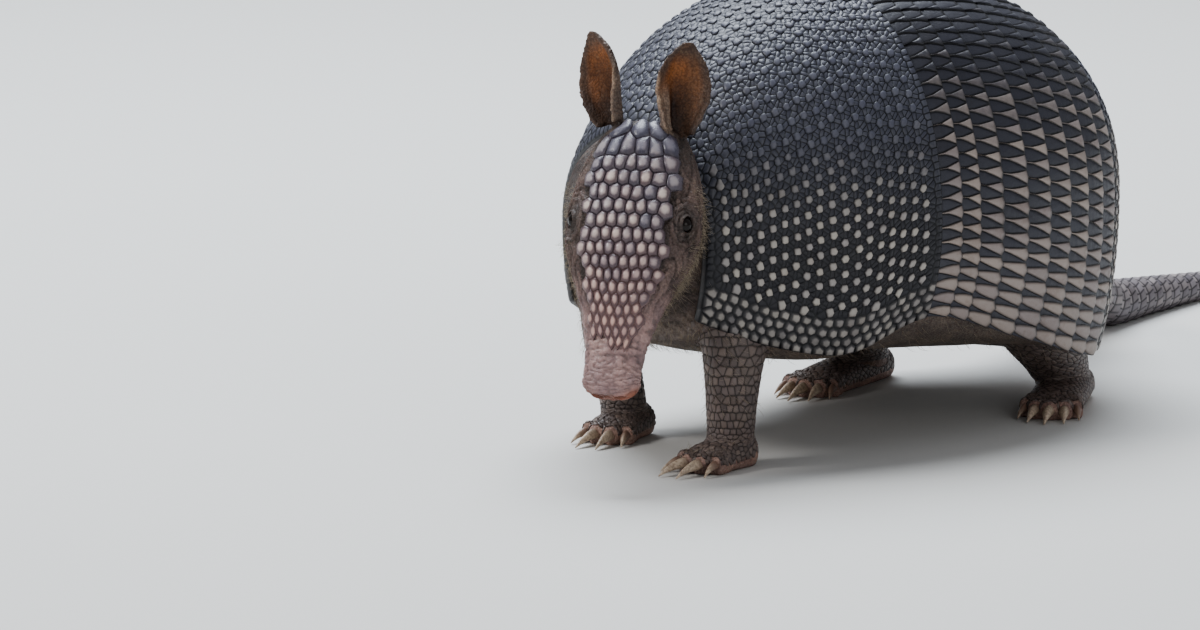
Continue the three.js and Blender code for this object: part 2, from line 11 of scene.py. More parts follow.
import bmesh
import bpy
import numpy as np
from mathutils import Matrix, Vector, noise
from mathutils.bvhtree import BVHTree
from mathutils.geometry import delaunay_2d_cdt

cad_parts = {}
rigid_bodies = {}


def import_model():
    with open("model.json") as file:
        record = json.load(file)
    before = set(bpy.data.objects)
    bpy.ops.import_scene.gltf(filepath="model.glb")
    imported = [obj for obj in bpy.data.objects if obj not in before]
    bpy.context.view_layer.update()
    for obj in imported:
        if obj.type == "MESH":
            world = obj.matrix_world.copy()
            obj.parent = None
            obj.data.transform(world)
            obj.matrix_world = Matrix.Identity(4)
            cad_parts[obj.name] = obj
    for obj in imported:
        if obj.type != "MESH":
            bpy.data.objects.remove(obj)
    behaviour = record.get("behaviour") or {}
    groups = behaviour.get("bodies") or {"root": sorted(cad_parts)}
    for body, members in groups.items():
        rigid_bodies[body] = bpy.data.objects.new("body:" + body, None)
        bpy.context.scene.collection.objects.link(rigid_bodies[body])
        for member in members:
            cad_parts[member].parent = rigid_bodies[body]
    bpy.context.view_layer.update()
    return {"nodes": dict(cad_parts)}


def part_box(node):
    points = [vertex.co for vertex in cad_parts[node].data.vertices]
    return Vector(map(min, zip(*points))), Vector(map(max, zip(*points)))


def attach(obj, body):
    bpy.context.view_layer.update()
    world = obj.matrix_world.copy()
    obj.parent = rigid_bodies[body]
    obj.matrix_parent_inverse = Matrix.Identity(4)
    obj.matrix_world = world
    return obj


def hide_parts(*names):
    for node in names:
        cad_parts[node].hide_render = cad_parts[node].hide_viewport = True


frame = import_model()
MM = 0.001
DEG = math.pi / 180
print("frame loaded:", len(frame["nodes"]), "nodes")

# %% [markdown]
# ## Dimensions
# The same numbers that drive the solids, in millimetres, so that both agree. The spine runs from
# the collar over the neck (distance 0) to the root of the tail, straight, then bent, then
# straight again. Tables of stations give the widths and heights along it.

# %% Dimensions of the body
GAP = 0.3
FRONT_HEADING, REAR_HEADING = 11 * DEG, -16 * DEG
BEND_START, BEND_END = 125.0, 200.0
SHIELD_END, BAND_COUNT, BAND_PITCH = 98.0, 9, 10.4
PELVIS_START = SHIELD_END + BAND_COUNT * BAND_PITCH
SHELL_END, SHELL_THICKNESS = 290.0, 3.2
BAND_RISE, BAND_LIP = 1.6, 1.3
RIM_ANGLE, SECTION_POWER = 118 * DEG, 2.15
BODY_STATIONS = [
    # distance, half width, top, level of the widest point, rim, belly
    [-12, 38, 122, 93, 62, 56], [0, 45, 138, 94, 60, 50], [28, 61, 169, 95, 49, 42],
    [60, 73, 186, 96, 44, 37], [98, 79, 193, 96, 56, 35], [120, 80.5, 193, 96, 53, 34],
    [145, 81, 191, 95, 42, 33], [192, 79, 179, 93, 25, 32], [225, 71, 166, 91, 27, 38],
    [255, 56, 147, 88, 44, 48], [276, 38, 122, 85, 56, 56], [290, 25, 103, 82, 61, 60],
]
HEAD_BACK = np.array([27, -33.5, 148.0])
HEAD_HEADING, HEAD_PITCH, HEAD_POWER, HEAD_LENGTH = 20 * DEG, 63 * DEG, 2.3, 117.0
HEAD_STATIONS = [
    # distance, half width, top, level of the widest point, underside
    [0, 12.5, -5, -14, -25], [6, 18, -1.5, -13, -31], [20, 24.5, 1.5, -13, -35],
    [40, 28.3, 3, -13, -36], [54, 27.2, 2.5, -12.5, -33], [68, 22, 1, -11, -27.5],
    [80, 17.2, -0.5, -10, -23], [96, 13, -2, -9.5, -19], [108, 12, -2.5, -9.5, -17],
    [115, 11.6, -3.5, -9.5, -16], [117, 9.5, -5, -9.5, -14.5],
]
FACE_STATIONS = np.array([  # distance, half width of the shield on the face
    [2, 9], [9, 16.5], [22, 20.4], [41, 19.6], [57, 19.2], [68, 17.2], [78, 14.4], [90, 12],
    [99, 9],
])
EYE_PLACE = (44.5, 21.6, -6.3)
TAIL_LENGTH, TAIL_BASE_RADIUS, TAIL_TIP_RADIUS = 345.0, 17.0, 2.4
TAIL_BASE_LEVEL, TAIL_DROP_SHARE, TAIL_TURN, TAIL_FLAT = 77.0, 0.4, 11 * DEG, 0.9
print("shell", SHELL_END, "mm, head", HEAD_LENGTH, "mm, tail", TAIL_LENGTH, "mm")

# %% [markdown]
# ## Curves
# An animal has no straight edges, so every outline is a smooth curve through a few stations.
# Blender's curve objects could do this, but plain formulas can also be asked for any point.

# %% Curves through stations
def along(stations, column, place):
    """A smooth curve through one column of a table, asked at places along its first column."""
    table = np.asarray(stations, float)
    x, y = table[:, 0], table[:, column]
    step = np.arange(len(x))
    before, after = np.maximum(step - 1, 0), np.minimum(step + 1, len(x) - 1)
    slope = (y[after] - y[before]) / (x[after] - x[before])
    place = np.asarray(place, float)
    i = np.clip(np.searchsorted(x, place) - 1, 0, len(x) - 2)
    span = x[i + 1] - x[i]
    t = np.clip((place - x[i]) / span, 0, 1)
    rise, start, end = y[i + 1] - y[i], slope[i] * span, slope[i + 1] * span
    return y[i] + start * t + (3 * rise - 2 * start - end) * t**2 + (start + end - 2 * rise) * t**3


def smoothstep(low, high, value):
    """0 up to low, 1 from high on, and a soft step between."""
    t = np.clip((np.asarray(value, float) - low) / (high - low), 0, 1)
    return t * t * (3 - 2 * t)


def signed_power(value, power):
    """A power that keeps the sign."""
    return np.sign(value) * np.abs(value) ** power


def stack(x, y, z):
    x, y, z = np.broadcast_arrays(x, y, z)
    return np.stack([x, y, z], axis=-1).astype(float)


print("half width in the middle of the shell:", along(BODY_STATIONS, 1, 145).round(1))

# %% [markdown]
# ## Places on the body
# The next functions turn a place, such as a distance along the spine and an offset to the left,
# into a point. The head has axes of its own, because it is lowered and turned.

# %% Spine and head
def spine(distance):
    """Where the spine is at a distance, as x, y and heading."""
    distance = np.asarray(distance, float)
    bend = (REAR_HEADING - FRONT_HEADING) / (BEND_END - BEND_START)
    straight = np.minimum(distance, BEND_START)
    heading = FRONT_HEADING + bend * np.clip(distance - BEND_START, 0, BEND_END - BEND_START)
    rear = np.maximum(distance - BEND_END, 0)
    x = straight * math.sin(FRONT_HEADING) + (math.cos(FRONT_HEADING) - np.cos(heading)) / bend
    y = straight * math.cos(FRONT_HEADING) + (np.sin(heading) - math.sin(FRONT_HEADING)) / bend
    return x + rear * math.sin(REAR_HEADING), y + rear * math.cos(REAR_HEADING), heading


def head_axes():
    """Directions along the head, to its left, to its top, and level ahead."""
    forward = np.array([math.sin(HEAD_HEADING), -math.cos(HEAD_HEADING), 0])
    up = np.array([0, 0, 1.0])
    axis = forward * math.cos(HEAD_PITCH) - up * math.sin(HEAD_PITCH)
    top = forward * math.sin(HEAD_PITCH) + up * math.cos(HEAD_PITCH)
    left = np.array([math.cos(HEAD_HEADING), math.sin(HEAD_HEADING), 0])
    return axis, left, top, forward


HEAD_AXIS, HEAD_LEFT, HEAD_TOP, HEAD_FORWARD = head_axes()


def head_local(distance, left, up):
    """A point by the head's own axes, before the whole animal is shifted into its frame."""
    parts = stack(distance, left, up)
    return HEAD_BACK + parts @ np.array([HEAD_AXIS, HEAD_LEFT, HEAD_TOP])


eye_low, eye_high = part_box("eye_left")
SHIFT = np.array((eye_low + eye_high) / 2) / MM - head_local(*EYE_PLACE)
print("the collar stands at", SHIFT.round(2), "mm")


def body_point(distance, left, height):
    x, y, heading = spine(distance)
    return stack(x + left * np.cos(heading), y - left * np.sin(heading), height) + SHIFT


def head_point(distance, left, up):
    return head_local(distance, left, up) + SHIFT


# %% [markdown]
# ## The arch of the shell
# Across the body the shell is an arch, rounder than a box and fuller than an ellipse. A power of
# the sine and cosine gives that, and the same formula places every scute later.

# %% Arch of the shell
RIM_DROP = -signed_power(math.cos(RIM_ANGLE), 2 / SECTION_POWER)


def arch(distance, lift, side):
    """Offsets left and height of the shell at a distance, side -1 to 1 from rim to rim."""
    angle = np.asarray(side) * RIM_ANGLE
    half = along(BODY_STATIONS, 1, distance) + lift
    middle = along(BODY_STATIONS, 3, distance)
    above = along(BODY_STATIONS, 2, distance) - middle + lift
    below = (middle - along(BODY_STATIONS, 4, distance)) / RIM_DROP + lift
    rise = np.where(np.cos(angle) >= 0, above, below)
    left = half * signed_power(np.sin(angle), 2 / SECTION_POWER)
    return left, middle + rise * signed_power(np.cos(angle), 2 / SECTION_POWER)


def shell_point(distance, lift, side):
    left, height = arch(distance, lift, side)
    return body_point(distance, left, height)


print("top of the shell:", shell_point(110, 0, 0.0)[2].round(1), "mm")

# %% [markdown]
# ## A flat map of the shell
# Scutes keep their size as the shell narrows, so they are laid out on a map, as a tailor cuts
# cloth flat. Across it runs the share of the way from the back's middle line to the rim, by true
# length. Along it runs true length divided by the arch's own length, which keeps angles true.

# %% The shell's flat map
MAP_STEP, SLOPE_SHARE = 0.5, 0.7    # the flanks slope less than the steepest line does
MAP_S = np.arange(-6, SHELL_END + 6, MAP_STEP)
MAP_W = np.linspace(-1, 1, 241)


def make_shell_map():
    sides = np.linspace(0, 1, 161)
    left, height = arch(MAP_S[:, None], 0, sides[None, :])
    pieces = np.hypot(np.diff(left, axis=1), np.diff(height, axis=1))
    arc = np.concatenate([np.zeros((len(MAP_S), 1)), np.cumsum(pieces, axis=1)], axis=1)
    half = arc[:, -1]
    share = np.abs(MAP_W)
    side = np.array([np.interp(share * half[i], arc[i], sides) for i in range(len(MAP_S))])
    slope = np.hypot(np.gradient(along(BODY_STATIONS, 2, MAP_S), MAP_STEP),
                     np.gradient(along(BODY_STATIONS, 1, MAP_S), MAP_STEP)) * SLOPE_SHARE
    run = np.cumsum(np.hypot(1, slope) * MAP_STEP)
    turn = np.cumsum(np.hypot(1, slope) * MAP_STEP / half)
    return half, side * np.sign(MAP_W), run, turn


MAP_HALF, MAP_SIDE, MAP_RUN, MAP_TURN = make_shell_map()


def side_at(distance, share):
    """The arch's own side value at a share of the way, by true length, to the rim."""
    i = np.clip((np.asarray(distance) - MAP_S[0]) / MAP_STEP, 0, len(MAP_S) - 1.001)
    j = np.clip((np.asarray(share) + 1) * 0.5 * (len(MAP_W) - 1), 0, len(MAP_W) - 1.001)
    a, b = i.astype(int), j.astype(int)
    s, t = i - a, j - b
    front = MAP_SIDE[a, b] * (1 - t) + MAP_SIDE[a, b + 1] * t
    back = MAP_SIDE[a + 1, b] * (1 - t) + MAP_SIDE[a + 1, b + 1] * t
    return front * (1 - s) + back * s


def turn_at(distance):
    return np.interp(distance, MAP_S, MAP_TURN)


def distance_at(turn):
    return np.interp(turn, MAP_TURN, MAP_S)


print("map: half arch from", MAP_HALF.min().round(), "to", MAP_HALF.max().round(), "mm")

# %% [markdown]
# ## Shader maths
# Materials are node trees. Wiring each node by hand is long and hard to read, so `Val` wraps a
# socket and turns plain expressions into nodes: `1 - mask` adds a Math node.

# %% Shader helper
class Val:
    def __init__(self, tree, socket):
        self.tree, self.socket = tree, socket

    def node(self, kind, settings=None, inputs=None, output=0):
        made = self.tree.nodes.new(kind)
        for key, value in (settings or {}).items():
            setattr(made, key, value)
        for key, value in (inputs or {}).items():
            put(self.tree, made.inputs[key], value)
        return Val(self.tree, made.outputs[output])

    def math(self, operation, *values):
        return self.node("ShaderNodeMath", {"operation": operation}, dict(enumerate(values)))

    def __add__(self, other):
        return self.math("ADD", self, other)

    def __sub__(self, other):
        return self.math("SUBTRACT", self, other)

    def __rsub__(self, other):
        return self.math("SUBTRACT", other, self)

    def __mul__(self, other):
        return self.math("MULTIPLY", self, other)

    def ramp(self, low, high, out_low=0.0, out_high=1.0):
        return self.node("ShaderNodeMapRange", {"interpolation_type": "SMOOTHSTEP"},
                         {0: self, 1: low, 2: high, 3: out_low, 4: out_high})

    def blend(self, first, second):
        """Mixes two colours by this value."""
        return self.node("ShaderNodeMix", {"data_type": "RGBA"}, {0: self, 6: first, 7: second},
                         output=2)

    def tint(self, colour, amount=1.0):
        """This colour multiplied by another."""
        return self.node("ShaderNodeMix", {"data_type": "RGBA", "blend_type": "MULTIPLY"},
                         {0: amount, 6: self, 7: colour}, output=2)

    __radd__, __rmul__ = __add__, __mul__


def put(tree, socket, value):
    if isinstance(value, Val):
        tree.links.new(value.socket, socket)
    elif isinstance(value, tuple) and socket.type == "RGBA" and len(value) == 3:
        socket.default_value = (*value, 1)
    else:
        socket.default_value = value


print("shader helper ready")

# %% [markdown]
# ## A material to start from
# Every finish starts from one Principled shader and from places on the object, which don't slide
# when the model is moved. Numbers that are the same all over go straight on the shader.

# %% Material helper
NOISE_ROUGHNESS = 0.55


class Finish:
    """A material with one Principled shader, and the inputs its maths starts from."""

    def __init__(self, name, **constants):
        self.material = bpy.data.materials.new(name)
        self.material.use_nodes = True
        self.tree = self.material.node_tree
        self.shader = self.tree.nodes["Principled BSDF"]
        for key, value in constants.items():
            self.shader.inputs[key.replace("_", " ")].default_value = value
        self.start = Val(self.tree, None)
        self.place = self.start.node("ShaderNodeTexCoord", output="Object")

    def attribute(self, name, output="Fac"):
        return self.start.node("ShaderNodeAttribute", {"attribute_name": name}, output=output)

    def noise(self, scale, detail=3.0):
        return self.start.node("ShaderNodeTexNoise", {},
                               {"Vector": self.place, "Scale": scale, "Detail": detail,
                                "Roughness": NOISE_ROUGHNESS}, "Fac")

    def cells(self, scale, feature="F1"):
        return self.start.node("ShaderNodeTexVoronoi", {"feature": feature},
                               {"Vector": self.place, "Scale": scale}, "Distance")

    def bump(self, height, distance, strength=1.0):
        return self.start.node("ShaderNodeBump", {},
                               {"Height": height, "Distance": distance, "Strength": strength})

    def set(self, **sockets):
        for key, value in sockets.items():
            put(self.tree, self.shader.inputs[key.replace("_", " ")], value)
        return self.material


print("material helper ready")

# %% [markdown]
# ## Scute material
# A scute is a small horny plate: dark in the groove, which is partly its own colour and partly
# painted shade, and pale on the crown, which is partly worn horn and partly a painted highlight
# and sky sheen, with dirt over all.
# An image could paint that, but here the mesh carries the values that the colour follows. `rise`
# goes from 0 in the groove to 1 on the crown, `pale` says how bleached a scute is, `tint` is its
# own chance value, `dusk` darkens the ground low on the flanks and `pink` warms the muzzle.

# %% Scute material
def scute_finish(name, groove, dark, dark_crown_sheen, light, light_crown_wear_and_highlight, rough, warm=(0.30, 0.17, 0.10),
                 soft=0.45, bed=(0.05, 0.04, 0.04), core=0.34):
    made = Finish(name, IOR=1.46)
    rise, pale, tint = (made.attribute(key) for key in ("rise", "pale", "tint"))
    mottle = made.noise(420, 4)
    broad = made.noise(38, 3)
    streak = made.noise(1600, 2)
    # Domes turn to the crown colours at the top: partly worn horn, partly painted highlight and
    # sheen.
    crown = (rise + (mottle - 0.5) * 0.3).ramp(core, 1.0)
    dull = crown.blend(dark, dark_crown_sheen)
    dull = made.attribute("dusk").blend(dull, dull.tint((0.30, 0.28, 0.27)))
    bright = crown.blend(light, light_crown_wear_and_highlight)
    colour = (pale + (mottle - 0.5) * 0.25).ramp(0.15, 0.85).blend(dull, bright)
    cool, lit = colour.tint((0.78, 0.76, 0.80)), colour.tint((1.12, 1.08, 1.02))
    colour = (tint * 0.8 + 0.1).blend(cool, lit)
    dirt = (broad + (mottle - 0.5) * 0.5).ramp(0.52, 0.74) * 0.35
    colour = dirt.blend(colour, colour.tint(warm, 0.55))
    pink = made.attribute("pink")
    colour = pink.blend(colour, colour.tint((0.96, 0.70, 0.65)))
    # Painted shade: grooves take the groove colour, a dark seam darkened further as shade in the
    # groove.
    colour = rise.ramp(0.04, soft).blend(pink.blend(groove, bed), colour)
    fine = made.bump(mottle + streak * 0.4, 0.00035, 0.5)
    return made.set(Base_Color=colour, Roughness=mottle.ramp(0.2, 0.8, rough - 0.08, rough + 0.14),
                    Normal=fine)


print("scute finish ready")

# %% Finishes of shell, bands, face and tail
SHELL = scute_finish("shell_scutes", groove=(0.006, 0.0065, 0.009), dark=(0.032, 0.035, 0.048),
                     dark_crown_sheen=(0.108, 0.114, 0.150), light=(0.085, 0.080, 0.082),
                     light_crown_wear_and_highlight=(0.40, 0.38, 0.355), rough=0.38, core=0.44)
BANDS = scute_finish("band_scutes", groove=(0.005, 0.0045, 0.005), dark=(0.014, 0.014, 0.019),
                     dark_crown_sheen=(0.046, 0.048, 0.064), light=(0.15, 0.128, 0.120),
                     light_crown_wear_and_highlight=(0.34, 0.295, 0.275), rough=0.40)
FACE = scute_finish("face_scutes", groove=(0.068, 0.056, 0.070), dark=(0.085, 0.084, 0.115),
                    dark_crown_sheen=(0.19, 0.19, 0.24), light=(0.155, 0.118, 0.128),
                    light_crown_wear_and_highlight=(0.58, 0.505, 0.475), rough=0.28, warm=(0.60, 0.38, 0.30), soft=0.30,
                    bed=(0.25, 0.155, 0.135), core=0.55)
TAIL = scute_finish("tail_scutes", groove=(0.022, 0.018, 0.020), dark=(0.070, 0.064, 0.072),
                    dark_crown_sheen=(0.17, 0.155, 0.17), light=(0.20, 0.18, 0.19),
                    light_crown_wear_and_highlight=(0.38, 0.35, 0.355), rough=0.45)
print("scute materials made")

# %% [markdown]
# ## Cells
# Scutes meet like bubbles or cracked mud: each owns the ground nearest to its middle. No mesh
# operator makes such cells, so they are worked out. Scattered points are joined into triangles,
# and the cell round a point has its corners in the middles of the circles through its triangles.
# Near an edge the points are mirrored over it, so the last cells end on it exactly.

# %% Cell mesh
def circle_middle(a, b, c):
    """The middle of the circle through three points."""
    ab, ac = b - a, c - a
    twice = 2 * (ab.x * ac.y - ab.y * ac.x)
    if abs(twice) < 1e-12:
        return (a + b + c) / 3
    x = (ac.y * ab.length_squared - ab.y * ac.length_squared) / twice
    y = (ab.x * ac.length_squared - ac.x * ab.length_squared) / twice
    return a + Vector((x, y))


def mirrored(points, low, high, reach):
    """Points and their mirror images over the edges of a rectangle that they are near."""
    rows = list(points)
    for axis in (0, 1):
        for edge in (low[axis], high[axis]):
            near = [p for p in rows if abs(p[axis] - edge) < reach[axis]]
            for p in near:
                twin = list(p)
                twin[axis] = 2 * edge - p[axis]
                rows.append(tuple(twin))
    return rows


def cell_mesh(points, low, high, reach, outside=()):
    """A flat bmesh of the cells round points. It ends on a rectangle, or by cells outside it."""
    rows = [tuple(p[:2]) for p in points] + list(outside)
    spots = [Vector(p) for p in (rows if outside else mirrored(rows, low, high, reach))]
    corners, _, trios, origins, _, _ = delaunay_2d_cdt(spots, [], [], 0, 1e-9)
    around = [[] for _ in corners]
    bm = bmesh.new()
    for trio in trios:
        place = circle_middle(*(corners[i] for i in trio))
        vert = bm.verts.new((place.x, place.y, 0))
        for i in trio:
            around[i].append(vert)
    order = bm.faces.layers.int.new("order")
    for centre, ring, source in zip(corners, around, origins):
        if len(ring) < 3 or not source or source[0] >= len(points):
            continue
        ring.sort(key=lambda v: math.atan2(v.co.y - centre.y, v.co.x - centre.x))
        bm.faces.new(ring)[order] = source[0]
    bmesh.ops.delete(bm, geom=[v for v in bm.verts if not v.link_faces], context="VERTS")
    return bm


print("a circle's middle:", circle_middle(*map(Vector, ((0, 0), (2, 0), (0, 2)))))

# %% [markdown]
# ## Domes
# A scute is a low dome. Each cell is inset a few times, each inner edge smaller and higher than
# the last, which is a few dozen faces for each scute and no more.

# %% Raise cells into domes
def scute_layers(bm, *names):
    """Adds the value of the corners and those of the faces, and returns the latter."""
    bm.verts.layers.float.new("rise")
    return [bm.faces.layers.float.new(name) for name in names]


def inset_cells(bm, faces, share, lift, rise, rounding=0.0):
    """Insets each cell to a share of its size, raises it, rounds it and marks its rise."""
    level = bm.verts.layers.float["rise"]
    bmesh.ops.inset_individual(bm, faces=faces, thickness=0, use_even_offset=False)
    for face in faces:
        middle = face.calc_center_median()
        arms = [vert.co - middle for vert in face.verts]
        mean = sum(arm.xy.length for arm in arms) / len(arms)
        for vert, arm in zip(face.verts, arms):
            even = 1 + rounding * (mean / max(arm.xy.length, 1e-6) - 1)
            flat = middle + arm * share * even
            vert.co = (flat.x, flat.y, lift)
            vert[level] = rise


def raise_domes(bm, faces, steps, rounding=0.0):
    """Insets cells through steps of share, lift in millimetres and rise."""
    for share, lift, rise in steps:
        inset_cells(bm, faces, share, lift, rise, rounding)


print("cell helpers ready")

# %% [markdown]
# ## Rosettes of the two shields
# Each rosette is one larger scute with small ones round it. Pure chance would look like gravel
# and a strict grid like tiles, so the larger ones stand in rows with a little jog, and the small
# ones fill the middles of the gaps. Along the rims run rows of squarish ones.

# %% Where the rosettes stand
CROWN, SMALL, SQUARE = 0, 1, 2
ROSETTE_SPACING, ROW_SHARE = 6.5, 0.87      # rows of a honeycomb stand closer than its columns


def shield_rows(first, last, spacing, chance):
    """Rosette middles on the shell's map, between two distances along the spine."""
    run = np.interp([first, last], MAP_S, MAP_RUN)
    count = round((run[1] - run[0]) / (spacing * ROW_SHARE))
    points = []
    for row in range(count):
        place = np.interp(run[0] + (row + 0.5) * (run[1] - run[0]) / count, MAP_RUN, MAP_S)
        half = np.interp(place, MAP_S, MAP_HALF)
        across = round(2 * half / spacing)
        for j in range(across + 1):
            share = -1 + (j + 0.5 * (row % 2)) * 2 / across
            jog = [chance.gauss(0, 0.06) * spacing / half for _ in range(2)]
            points.append((turn_at(place) + jog[0], share + jog[1]))
    return points


def between(points):
    """The middles of the triangles and of the edges that join neighbouring points."""
    spots = [Vector(p) for p in points]
    corners, edges, trios, _, _, _ = delaunay_2d_cdt(spots, [], [], 0, 1e-9)
    middles = [(corners[a] + corners[b] + corners[c]) / 3 for a, b, c in trios]
    halves = [(corners[a] + corners[b]) / 2 for a, b in edges]
    lengths = sorted((corners[a] - corners[b]).length for a, b in edges)
    longest = lengths[len(lengths) // 2] * 1.35
    halves = [h for h, (a, b) in zip(halves, edges) if (corners[a] - corners[b]).length < longest]
    return [tuple(p) for p in middles + halves]


sample = shield_rows(0, SHIELD_END, ROSETTE_SPACING, random.Random(1))
print("rosettes on the front shield:", len(sample))

# %% Rows along the rims and edges
RIM_OFFSETS = (2.0, 6.0, 10.2, 14.6)
RIM_SPACING, BORDER_SPACING = 5.0, 2.9
EDGE_ROOM = {CROWN: 4.0, SMALL: 3.2}        # kept free for the column along an edge


def rim_rows(first, last, offsets, spacing, chance):
    """Squarish scutes in rows along both rims."""
    points = []
    run = np.interp([first, last], MAP_S, MAP_RUN)
    count = round((run[1] - run[0]) / spacing)
    for row, offset in enumerate(offsets):
        for k in range(count):
            step = (k + 0.3 + 0.4 * (row % 2)) / count + chance.gauss(0, 0.05) / count
            place = np.interp(run[0] + step * (run[1] - run[0]), MAP_RUN, MAP_S)
            half = np.interp(place, MAP_S, MAP_HALF)
            for sign in (1, -1):
                share = 1 - (offset + chance.gauss(0, 0.22)) / half
                points.append((turn_at(place), sign * share))
    return points


def border_points(first, last, spacing):
    """Small scutes in one column along the front edge and one along the rear edge."""
    start, stop = np.interp([first, last], MAP_S, MAP_RUN)
    points = []
    for run in (start + 1.3, stop - 1.3):
        place = np.interp(run, MAP_RUN, MAP_S)
        half = np.interp(place, MAP_S, MAP_HALF)
        reach = 1 - (RIM_OFFSETS[-1] + 3) / half
        across = round(2 * reach * half / spacing)
        points += [(float(turn_at(place)), -reach + (j + 0.5) * 2 * reach / across, SMALL)
                   for j in range(across)]
    return points


def shield_points(first, last, spacing, chance):
    """All scutes of a shield: rosettes inside, and rows along its rims and edges."""
    rows = rim_rows(first, last, RIM_OFFSETS, RIM_SPACING, chance)
    crowns = shield_rows(first, last, spacing, chance)
    start, stop = np.interp([first, last], MAP_S, MAP_RUN)
    keep = border_points(first, last, BORDER_SPACING)
    for kind, group in ((CROWN, crowns), (SMALL, between(crowns))):
        for turn, share in group:
            place = float(distance_at(turn))
            half, here = (float(np.interp(place, MAP_S, table)) for table in (MAP_HALF, MAP_RUN))
            at_rim = (1 - abs(share)) * half < RIM_OFFSETS[-1] + 3.2
            if not at_rim and EDGE_ROOM[kind] < min(here - start, stop - here):
                keep.append((turn, share, kind))
    return keep + [(turn, share, SQUARE) for turn, share in rows]


print("rows along each rim:", len(RIM_OFFSETS))

# %% [markdown]
# ## From flat to round
# Bending a finished piece with a modifier would stretch it. Instead a piece is made flat, and its
# corners are then moved to their points on the body. Its flat place is kept as its unwrap.

# %% Lay a flat piece on the body
def add_object(name, data):
    made = bpy.data.objects.new(name, data)
    bpy.context.scene.collection.objects.link(made)
    return made


def triangles(thing):
    return sum(len(face.vertices) - 2 for face in thing.data.polygons)


def loop_corners(mesh):
    """The index of the corner point that each face corner uses."""
    loops = np.empty(len(mesh.loops), int)
    mesh.loops.foreach_get("vertex_index", loops)
    return loops


def finish_mesh(name, bm, points, unwrap, material):
    """Moves the flat mesh's corners to points, in millimetres, and makes the object."""
    mesh = bpy.data.meshes.new(name)
    bm.normal_update()
    bm.to_mesh(mesh)
    bm.free()
    mesh.vertices.foreach_set("co", (np.asarray(points) * MM).ravel())
    mesh.materials.append(material)
    mesh.shade_smooth()
    low, high = unwrap.min(axis=0), unwrap.max(axis=0)
    flat = (0.02 + 0.96 * (unwrap - low) / (high - low))[loop_corners(mesh)]
    mesh.uv_layers.new(name="OFBake").data.foreach_set("uv", flat.ravel())
    mesh.update()
    made = add_object(name, mesh)
    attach(made, "root")
    return made


def flat_corners(bm):
    """The flat places of a piece's corners, with their lift."""
    return np.array([v.co for v in bm.verts])


def outward(bm):
    """Turns all faces of a flat piece up, which is out once it lies on the body."""
    bmesh.ops.recalc_face_normals(bm, faces=bm.faces[:])
    if sum(f.normal.z * f.calc_area() for f in bm.faces) < 0:
        bmesh.ops.reverse_faces(bm, faces=bm.faces[:])


print("pieces are laid on the body in millimetres")

# %% [markdown]
# ## Rims
# A real shield has a thick edge that turns under. The open edge is extruded a few times, out and
# down and then back in, so that no piece ends as a paper-thin sheet.

# %% Rims
SKIRT_REACH, SKIRT_PALE = 9, 0.45


def skirt(bm, low, high, unit, steps, rim_depth=1.0):
    """Extrudes the outer edge through steps of out, down and rise, in millimetres."""
    level, pale = bm.verts.layers.float["rise"], bm.faces.layers.float["pale"]
    edges = [e for e in bm.edges if e.is_boundary]
    near = [SKIRT_REACH * unit[0], SKIRT_REACH * unit[1]]
    for out, down, rise in steps:
        made = bmesh.ops.extrude_edge_only(bm, edges=edges)["geom"]
        edges = [g for g in made if isinstance(g, bmesh.types.BMEdge)]
        for vert in (g for g in made if isinstance(g, bmesh.types.BMVert)):
            for axis in (0, 1):
                if vert.co[axis] < low[axis] + near[axis]:
                    vert.co[axis] -= out * unit[axis]
                elif vert.co[axis] > high[axis] - near[axis]:
                    vert.co[axis] += out * unit[axis]
            at_rim = abs(vert.co.y) > high[1] - near[1]
            vert.co.z -= down * (rim_depth if at_rim else 1.0)
            vert[level] = rise
        for face in (g for g in made if isinstance(g, bmesh.types.BMFace)):
            face[pale] = SKIRT_PALE


print("rims reach", SKIRT_REACH, "mm from an edge")

# %% [markdown]
# ## The two shields
# One stiff shield covers the shoulders and one the hips. High on the back their scutes are dark.
# Down the flanks the crowns turn pale on dark ground, so paleness follows a point's height.

# %% Shields
DOME_SHARE = 0.78       # of the full height of the scutes' domes
CELL_SINK = 0.55
MIRROR_REACH = 12
BLEACH_HEIGHTS = (82, 150)      # all pale below the first, all dark above the second
CROWN_DOME = ((1.08, 0.45, 0.42), (0.88, 0.92, 0.68), (0.78, 1.20, 0.88), (0.55, 1.32, 1.0))
SQUARE_DOME = ((0.78, 0.45, 0.30), (0.82, 0.90, 0.60), (0.72, 1.15, 0.90), (0.5, 1.2, 1.0))


